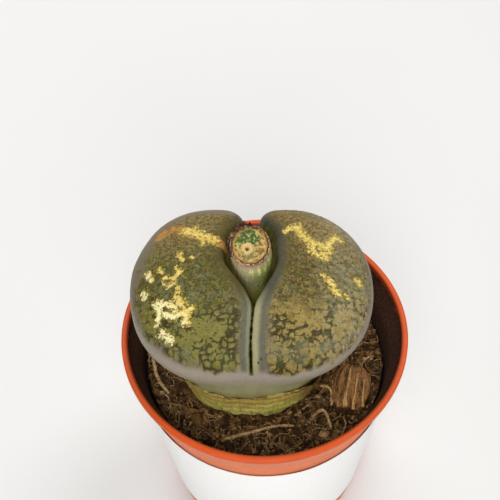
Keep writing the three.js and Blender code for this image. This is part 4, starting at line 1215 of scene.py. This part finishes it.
def add_bast():
    """Light strands of inner bark that lie loose on the large chip, and a pale hooked root."""
    heap = Heap()
    rng = random.Random(5)
    steps, hook_steps = 40, 30
    for radius, line in BAST:
        route = smooth_path(line, steps)
        sway = np.stack([value_noise(route + k, 0.55, 58) for k in (0, 20)] + [0 * route[:, 0]], axis=1)
        radii = radius * (0.75 + 0.4 * value_noise(route, 1.1, 55)) * np.linspace(1, 0.6, steps)
        points, faces = tube(route + 0.45 * sway, radii, 12)
        points += 0.14 * value_noise(points * [2.4, 0.25, 2.4], 1.0, 57)[:, None]
        heap.add(points, faces, rng.uniform(0.0, 0.2))
    radii = HOOK_RADIUS * np.linspace(1, 0.6, hook_steps)
    heap.add(*tube(smooth_path(HOOK, hook_steps), radii, 10), 0.24)
    shades = srgb(92, 64, 32), srgb(146, 108, 58), srgb(196, 156, 96)
    heap.make("chip_bast", wood_finish("bast", *shades, (1.2, 0.2, 1.2)), "bark")


def add_root(name, root, finish):
    """A thick root fibre with a few thin side roots."""
    radius, line = root
    route = smooth_path([(x, y, SOIL_LEVEL + lift) for x, y, lift in line], ROOT_STEPS)
    wave = 0.1 * np.stack([value_noise(route + k, 0.8, 50) for k in (0, 30, 60)], axis=1)
    share = np.linspace(0, 1, ROOT_STEPS)
    radii = radius * (0.95 - 0.35 * share + 0.12 * value_noise(route, 1.6, 51))
    heap = Heap()
    heap.add(*tube(route + wave, radii, 14), 0.14)
    rng = random.Random(len(name) + 3)
    for place in TWIG_STARTS:
        start, swing, reach = route[place], rng.uniform(0, 2 * math.pi), rng.uniform(1.2, 2.4)
        middle = start + [0.5 * reach * math.cos(swing), 0.5 * reach * math.sin(swing), 0.1]
        end = start + [reach * math.cos(swing + 0.5), reach * math.sin(swing + 0.5), -0.9]
        twig = smooth_path([start, middle, end], 12)
        heap.add(*tube(twig, np.linspace(0.15, 0.06, 12), 7), 0.04)
    piece = heap.make(name + "_strand", finish, "root_fibre")
    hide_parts(name)


# ---- Old leaf sheath ---------------------------------------------------------------------
def add_sheath():
    """The skin of last year's leaves round the neck: wrinkled, torn along its top and loose at
    the right."""
    columns, rows = 760, 34
    angle = np.linspace(0, 2 * math.pi, columns, endpoint=False)
    ring = np.stack([6 * np.cos(angle), 6 * np.sin(angle)], axis=1)
    top = (SHEATH_TOP - SHEATH_FRONT_RISE * np.sin(angle) + 0.6 * np.sin(5 * angle + 0.6)
           + 1.2 * fractal(ring, 0.6, 4, 61) + 0.4 * value_noise(ring, 3.2, 66))
    share = np.linspace(0, 1, rows)[:, None]
    z = mix(SHEATH_BOTTOM, top[None], share)
    wide = np.repeat(angle[None], rows, axis=0)
    places = polar(8, wide, 0.35 * z).reshape(-1, 3)
    wrinkle = (0.2 * fractal(places * [2.2, 2.2, 0.5], 0.8, 3, 71)).reshape(z.shape)
    fold = 0.12 * np.sin(3.1 * z + 2.4 * value_noise(places, 0.35, 75).reshape(z.shape)) * share
    loose = np.exp(-(((wide - 2 * math.pi + 0.75) / 0.3) ** 2))
    loose += 0.3 * smooth_step(0.2, 1, np.sin(3 * wide + 1))
    thick = mix(0.65, 0.1, share**0.7)
    close = mix(0.2, 0.08, share)
    inner = neck_radius(wide, z) + close + wrinkle.clip(-0.15) + fold + 0.8 * share**3 * loose
    inner = np.maximum(inner, neck_radius(wide, z) + 0.08)
    outside, inside = (polar(radius, wide, z, PLANT_X, PLANT_Y) for radius in (inner + thick, inner))
    points, faces = slab(outside, inside, wrap=True)
    edge = np.repeat(share, columns, axis=1).ravel()
    piece = make_object("sheath_paper", points, faces, old_skin_finish(), "old_skin",
                        edge=np.concatenate([edge, edge]))
    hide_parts("old_leaf_sheath")


# ---- Seed capsule ------------------------------------------------------------------------
def capsule_outline():
    """(radius, z) up the cone, then over the rim and in to the middle; and the cone's length."""
    levels, radii = CAPSULE_LEVELS[:, 0], CAPSULE_LEVELS[:, 1]
    cone = [(np.interp(z, levels, radii), z) for z in np.linspace(levels[0], CONE_TOP, 64)]
    top = CAPSULE_TOP
    face = rounded_corner(CAPSULE_RADIUS - 0.3, top - 0.4, 0.3, 0, 100, 9)
    face += [(r, top - d) for r, d in ((3.25, 0.36), (3.1, 0.5), (2.95, 0.42), (2.8, 0.3))]
    face += [(r, top - 0.3 - 0.02 * r) for r in np.linspace(2.65, 1.5, 14)]
    face += [(r, top - 0.34 + 0.26 * (1.5 - r)) for r in np.linspace(1.4, 0.7, 8)]
    face += [(0.55, top - 0.22), (0.4, top - 0.42), (0.25, top - 0.55)]
    return np.array(cone + face), len(cone)


def add_capsule():
    line, cone_rows = capsule_outline()
    columns = 180
    turn = np.repeat(np.linspace(0, 2 * math.pi, columns, endpoint=False)[None], len(line), axis=0)
    radius, z = (np.repeat(line[:, k, None], columns, axis=1) for k in (0, 1))
    on_face = np.arange(len(line))[:, None] >= cone_rows
    ring = polar(radius, turn, z).reshape(-1, 3)
    rough = fractal(ring, 1.3, 4, 81).reshape(z.shape)
    streaks = fractal(ring * [1.5, 1.5, 0.18], 1.0, 3, 85).reshape(z.shape)
    wave = radius * (0.02 * np.cos(6 * turn) + 0.035 * streaks) + 0.04 * rough
    shaped = np.minimum(radius + np.where(on_face, 0, wave), CAPSULE_RADIUS + 0.1)
    valve = np.exp(-((np.abs(np.sin(3 * turn)) / 0.3) ** 2)) * smooth_step(0.6, 1.2, radius)
    depth = CAPSULE_TOP - z
    lift = CAPSULE_SLANT * smooth_step(60, CONE_TOP, z) * shaped * np.sin(turn)
    level = z + lift + np.where(on_face, 0.12 * valve + 0.12 * rough, 0)
    inwards = np.where(on_face, 1 - smooth_step(0.3, 2.7, radius), 0)
    x = np.interp(z, CAPSULE_LEVELS[:, 0], CAPSULE_LEVELS[:, 2]) + STAR_X * inwards
    y = np.interp(z, CAPSULE_LEVELS[:, 0], CAPSULE_LEVELS[:, 3]) + STAR_Y * inwards
    star_lift = CAPSULE_SLANT * STAR_Y * inwards
    foot_z, _, foot_x, foot_y = CAPSULE_LEVELS[0]
    pit = (CAPSULE_X + STAR_X, CAPSULE_Y + STAR_Y, CAPSULE_TOP - 0.6 + CAPSULE_SLANT * STAR_Y)
    points, faces = turned_body(shaped, level + star_lift, x, y, foot=(foot_x, foot_y, foot_z), top=pit)
    spread = np.hypot(points[:, 0] - CAPSULE_X, points[:, 1] - CAPSULE_Y)
    star = np.hypot(points[:, 0] - pit[0], points[:, 1] - pit[1])
    depth = np.append(depth.ravel(), [CAPSULE_TOP - foot_z, 0.5])
    piece = make_object("capsule_body", points, faces, capsule_finish(), "capsule_skin",
                        radius=spread, depth=depth, star=star)
    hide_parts("seed_capsule")


def add_sepals():
    """Shrivelled dark sepals, curled up behind the capsule's rim."""
    heap = Heap()
    rng = random.Random(31)
    v, u = np.meshgrid(np.linspace(0, 1, 14), np.linspace(-1, 1, 9), indexing="ij")
    along = np.stack([u.ravel() * 2, v.ravel() * 4], axis=1)
    for turn, length in SEPALS:
        width = rng.uniform(0.6, 1.2) * (1 - v**2.2) + 0.1
        crumple = 0.42 * value_noise(along, 1, rng.randrange(90)).reshape(u.shape)
        out = 0.4 * np.sin(2.6 * v) + crumple - 0.3 * u**2
        front = np.stack([out, u * width, v * length - 0.5], axis=-1)
        points, faces = slab(front, front - [0.16, 0, 0])
        points = turned(points + [CAPSULE_RADIUS, 0, 0], turn, 0, 0)
        lift = CAPSULE_SLANT * CAPSULE_RADIUS * math.sin(turn)
        heap.add(points + [CAPSULE_X, CAPSULE_Y, CAPSULE_TOP - 0.3 + lift], faces, rng.uniform(-0.15, 0.1))
    shades = srgb(40, 24, 20), srgb(84, 52, 46), srgb(176, 146, 122)
    heap.make("capsule_sepals", wood_finish("dry_sepal", *shades, (1.0, 1.0, 0.4)), "capsule_skin")


# ---- Loose crumbs on the plant -----------------------------------------------------------
def leaf_top(x, y):
    """The height of the leaf's skin over one place."""
    levels = np.linspace(72, 45, 541)
    inside = leaf_field(np.full_like(levels, x), np.full_like(levels, y), levels) < 0
    return levels[inside.argmax()]


def add_leaf_crumbs(finish):
    """Specks of soil that are wedged in the slit and lie on the skin."""
    rng = random.Random(43)
    shape, triangles = ball(1)
    heap = Heap()
    for y in SLIT_CRUMBS:
        x = float(slit_middle(np.array([y]))[0]) + rng.uniform(-0.05, 0.05)
        top = leaf_top(x + 0.45, y)
        heap.add(lump(rng, shape, rng.uniform(0.2, 0.34)) + [x, y, top - rng.uniform(0.3, 0.7)],
                 [triangles], 0.3)
    for x, y, size in SKIN_CRUMBS:
        heap.add(lump(rng, shape, size) + [x, y, leaf_top(x, y) + 0.3 * size], [triangles], 0.35)
    heap.make("leaf_crumbs", finish, "soil_mix")


# ---- Studio ------------------------------------------------------------------------------
CAMERA_PLACE = (-2.18 * MM, -135.5 * MM, 260.1 * MM)
CAMERA_PITCH, CAMERA_ROLL = 36.48, -2.04  # degrees
CAMERA_LENS, SENSOR_WIDTH = 92.8, 36
CLIP_START = 0.01
FLOOR_REACH = 2.5  # metres to each side
WORLD_STRENGTH = 0.36
AIM = Vector((0, 0, 55 * MM))
# Each softbox: place and size in metres, power in watts.
SOFTBOXES = {
    "overhead_right": ((0.26, 0.24, 0.72), 0.34, 2.1),
    "overhead_front": ((-0.05, -0.42, 0.6), 0.3, 1.9),
    "front_fill": ((0.05, -0.85, 0.33), 0.8, 4.0),
    "behind": ((-0.1, 0.32, 0.35), 0.3, 0.85),
}


def add_camera():
    camera = linked("camera", bpy.data.cameras.new("camera"))
    camera.data.lens, camera.data.sensor_width = CAMERA_LENS, SENSOR_WIDTH
    camera.data.clip_start = CLIP_START
    pitch = Matrix.Rotation(math.radians(CAMERA_PITCH), 4, "X")
    roll = Matrix.Rotation(math.radians(CAMERA_ROLL), 4, "Z")
    camera.matrix_world = Matrix.Translation(CAMERA_PLACE) @ pitch @ roll
    bpy.context.scene.camera = camera


def add_softbox(name, place, size, power):
    light = bpy.data.lights.new(name, "AREA")
    light.shape, light.size, light.energy = "DISK", size, power
    box = linked(name, light)
    box.location = place
    box.rotation_euler = (AIM - box.location).to_track_quat("-Z", "Y").to_euler()


def add_studio():
    bpy.context.scene.view_settings.view_transform = "Standard"
    world = bpy.data.worlds.new("studio")
    bpy.context.scene.world = world
    world.use_nodes = True
    background = world.node_tree.nodes["Background"].inputs
    background["Color"].default_value = (1, 0.995, 0.985, 1)
    background["Strength"].default_value = WORLD_STRENGTH
    for name, softbox in SOFTBOXES.items():
        add_softbox(name, *softbox)
    finish = Finish("pale_floor", 0.75, Specular_IOR_Level=0.2)
    cloud = finish.noise(0.01, 2)
    finish.set("Base Color", finish.blend(cloud, srgb(214, 213, 211), srgb(218, 217, 216)))
    mesh = bpy.data.meshes.new("floor")
    corners = [(x * FLOOR_REACH, y * FLOOR_REACH, 0) for x, y in ((-1, -1), (1, -1), (1, 1), (-1, 1))]
    mesh.from_pydata(corners, [], [(0, 1, 2, 3)])
    mesh.materials.append(finish.material)
    floor = linked("floor", mesh)


add_camera()
add_studio()
add_pot()
add_label()
soil = soil_finish("soil_mix", srgb(56, 37, 19), srgb(124, 90, 50), srgb(190, 150, 102))
add_soil(soil)
add_crumbs(soil)
strand = wood_finish("root_strand", srgb(100, 72, 42), srgb(152, 118, 72), srgb(200, 168, 120), (0.6,) * 3)
add_fibres(strand)
splinter = wood_finish("bark_splinter", srgb(60, 40, 21), srgb(118, 86, 50), srgb(172, 132, 82), (1, 0.5, 1))
add_shards(splinter)
for number, (chip_name, chip_sizes) in enumerate(CHIPS.items()):
    add_chip(chip_name, chip_sizes, 100 + 10 * number)
add_bast()
for root_name, root_line in ROOTS.items():
    add_root(root_name, root_line, strand)
add_sheath()
add_leaf_pair()
add_capsule()
add_sepals()
add_leaf_crumbs(soil)
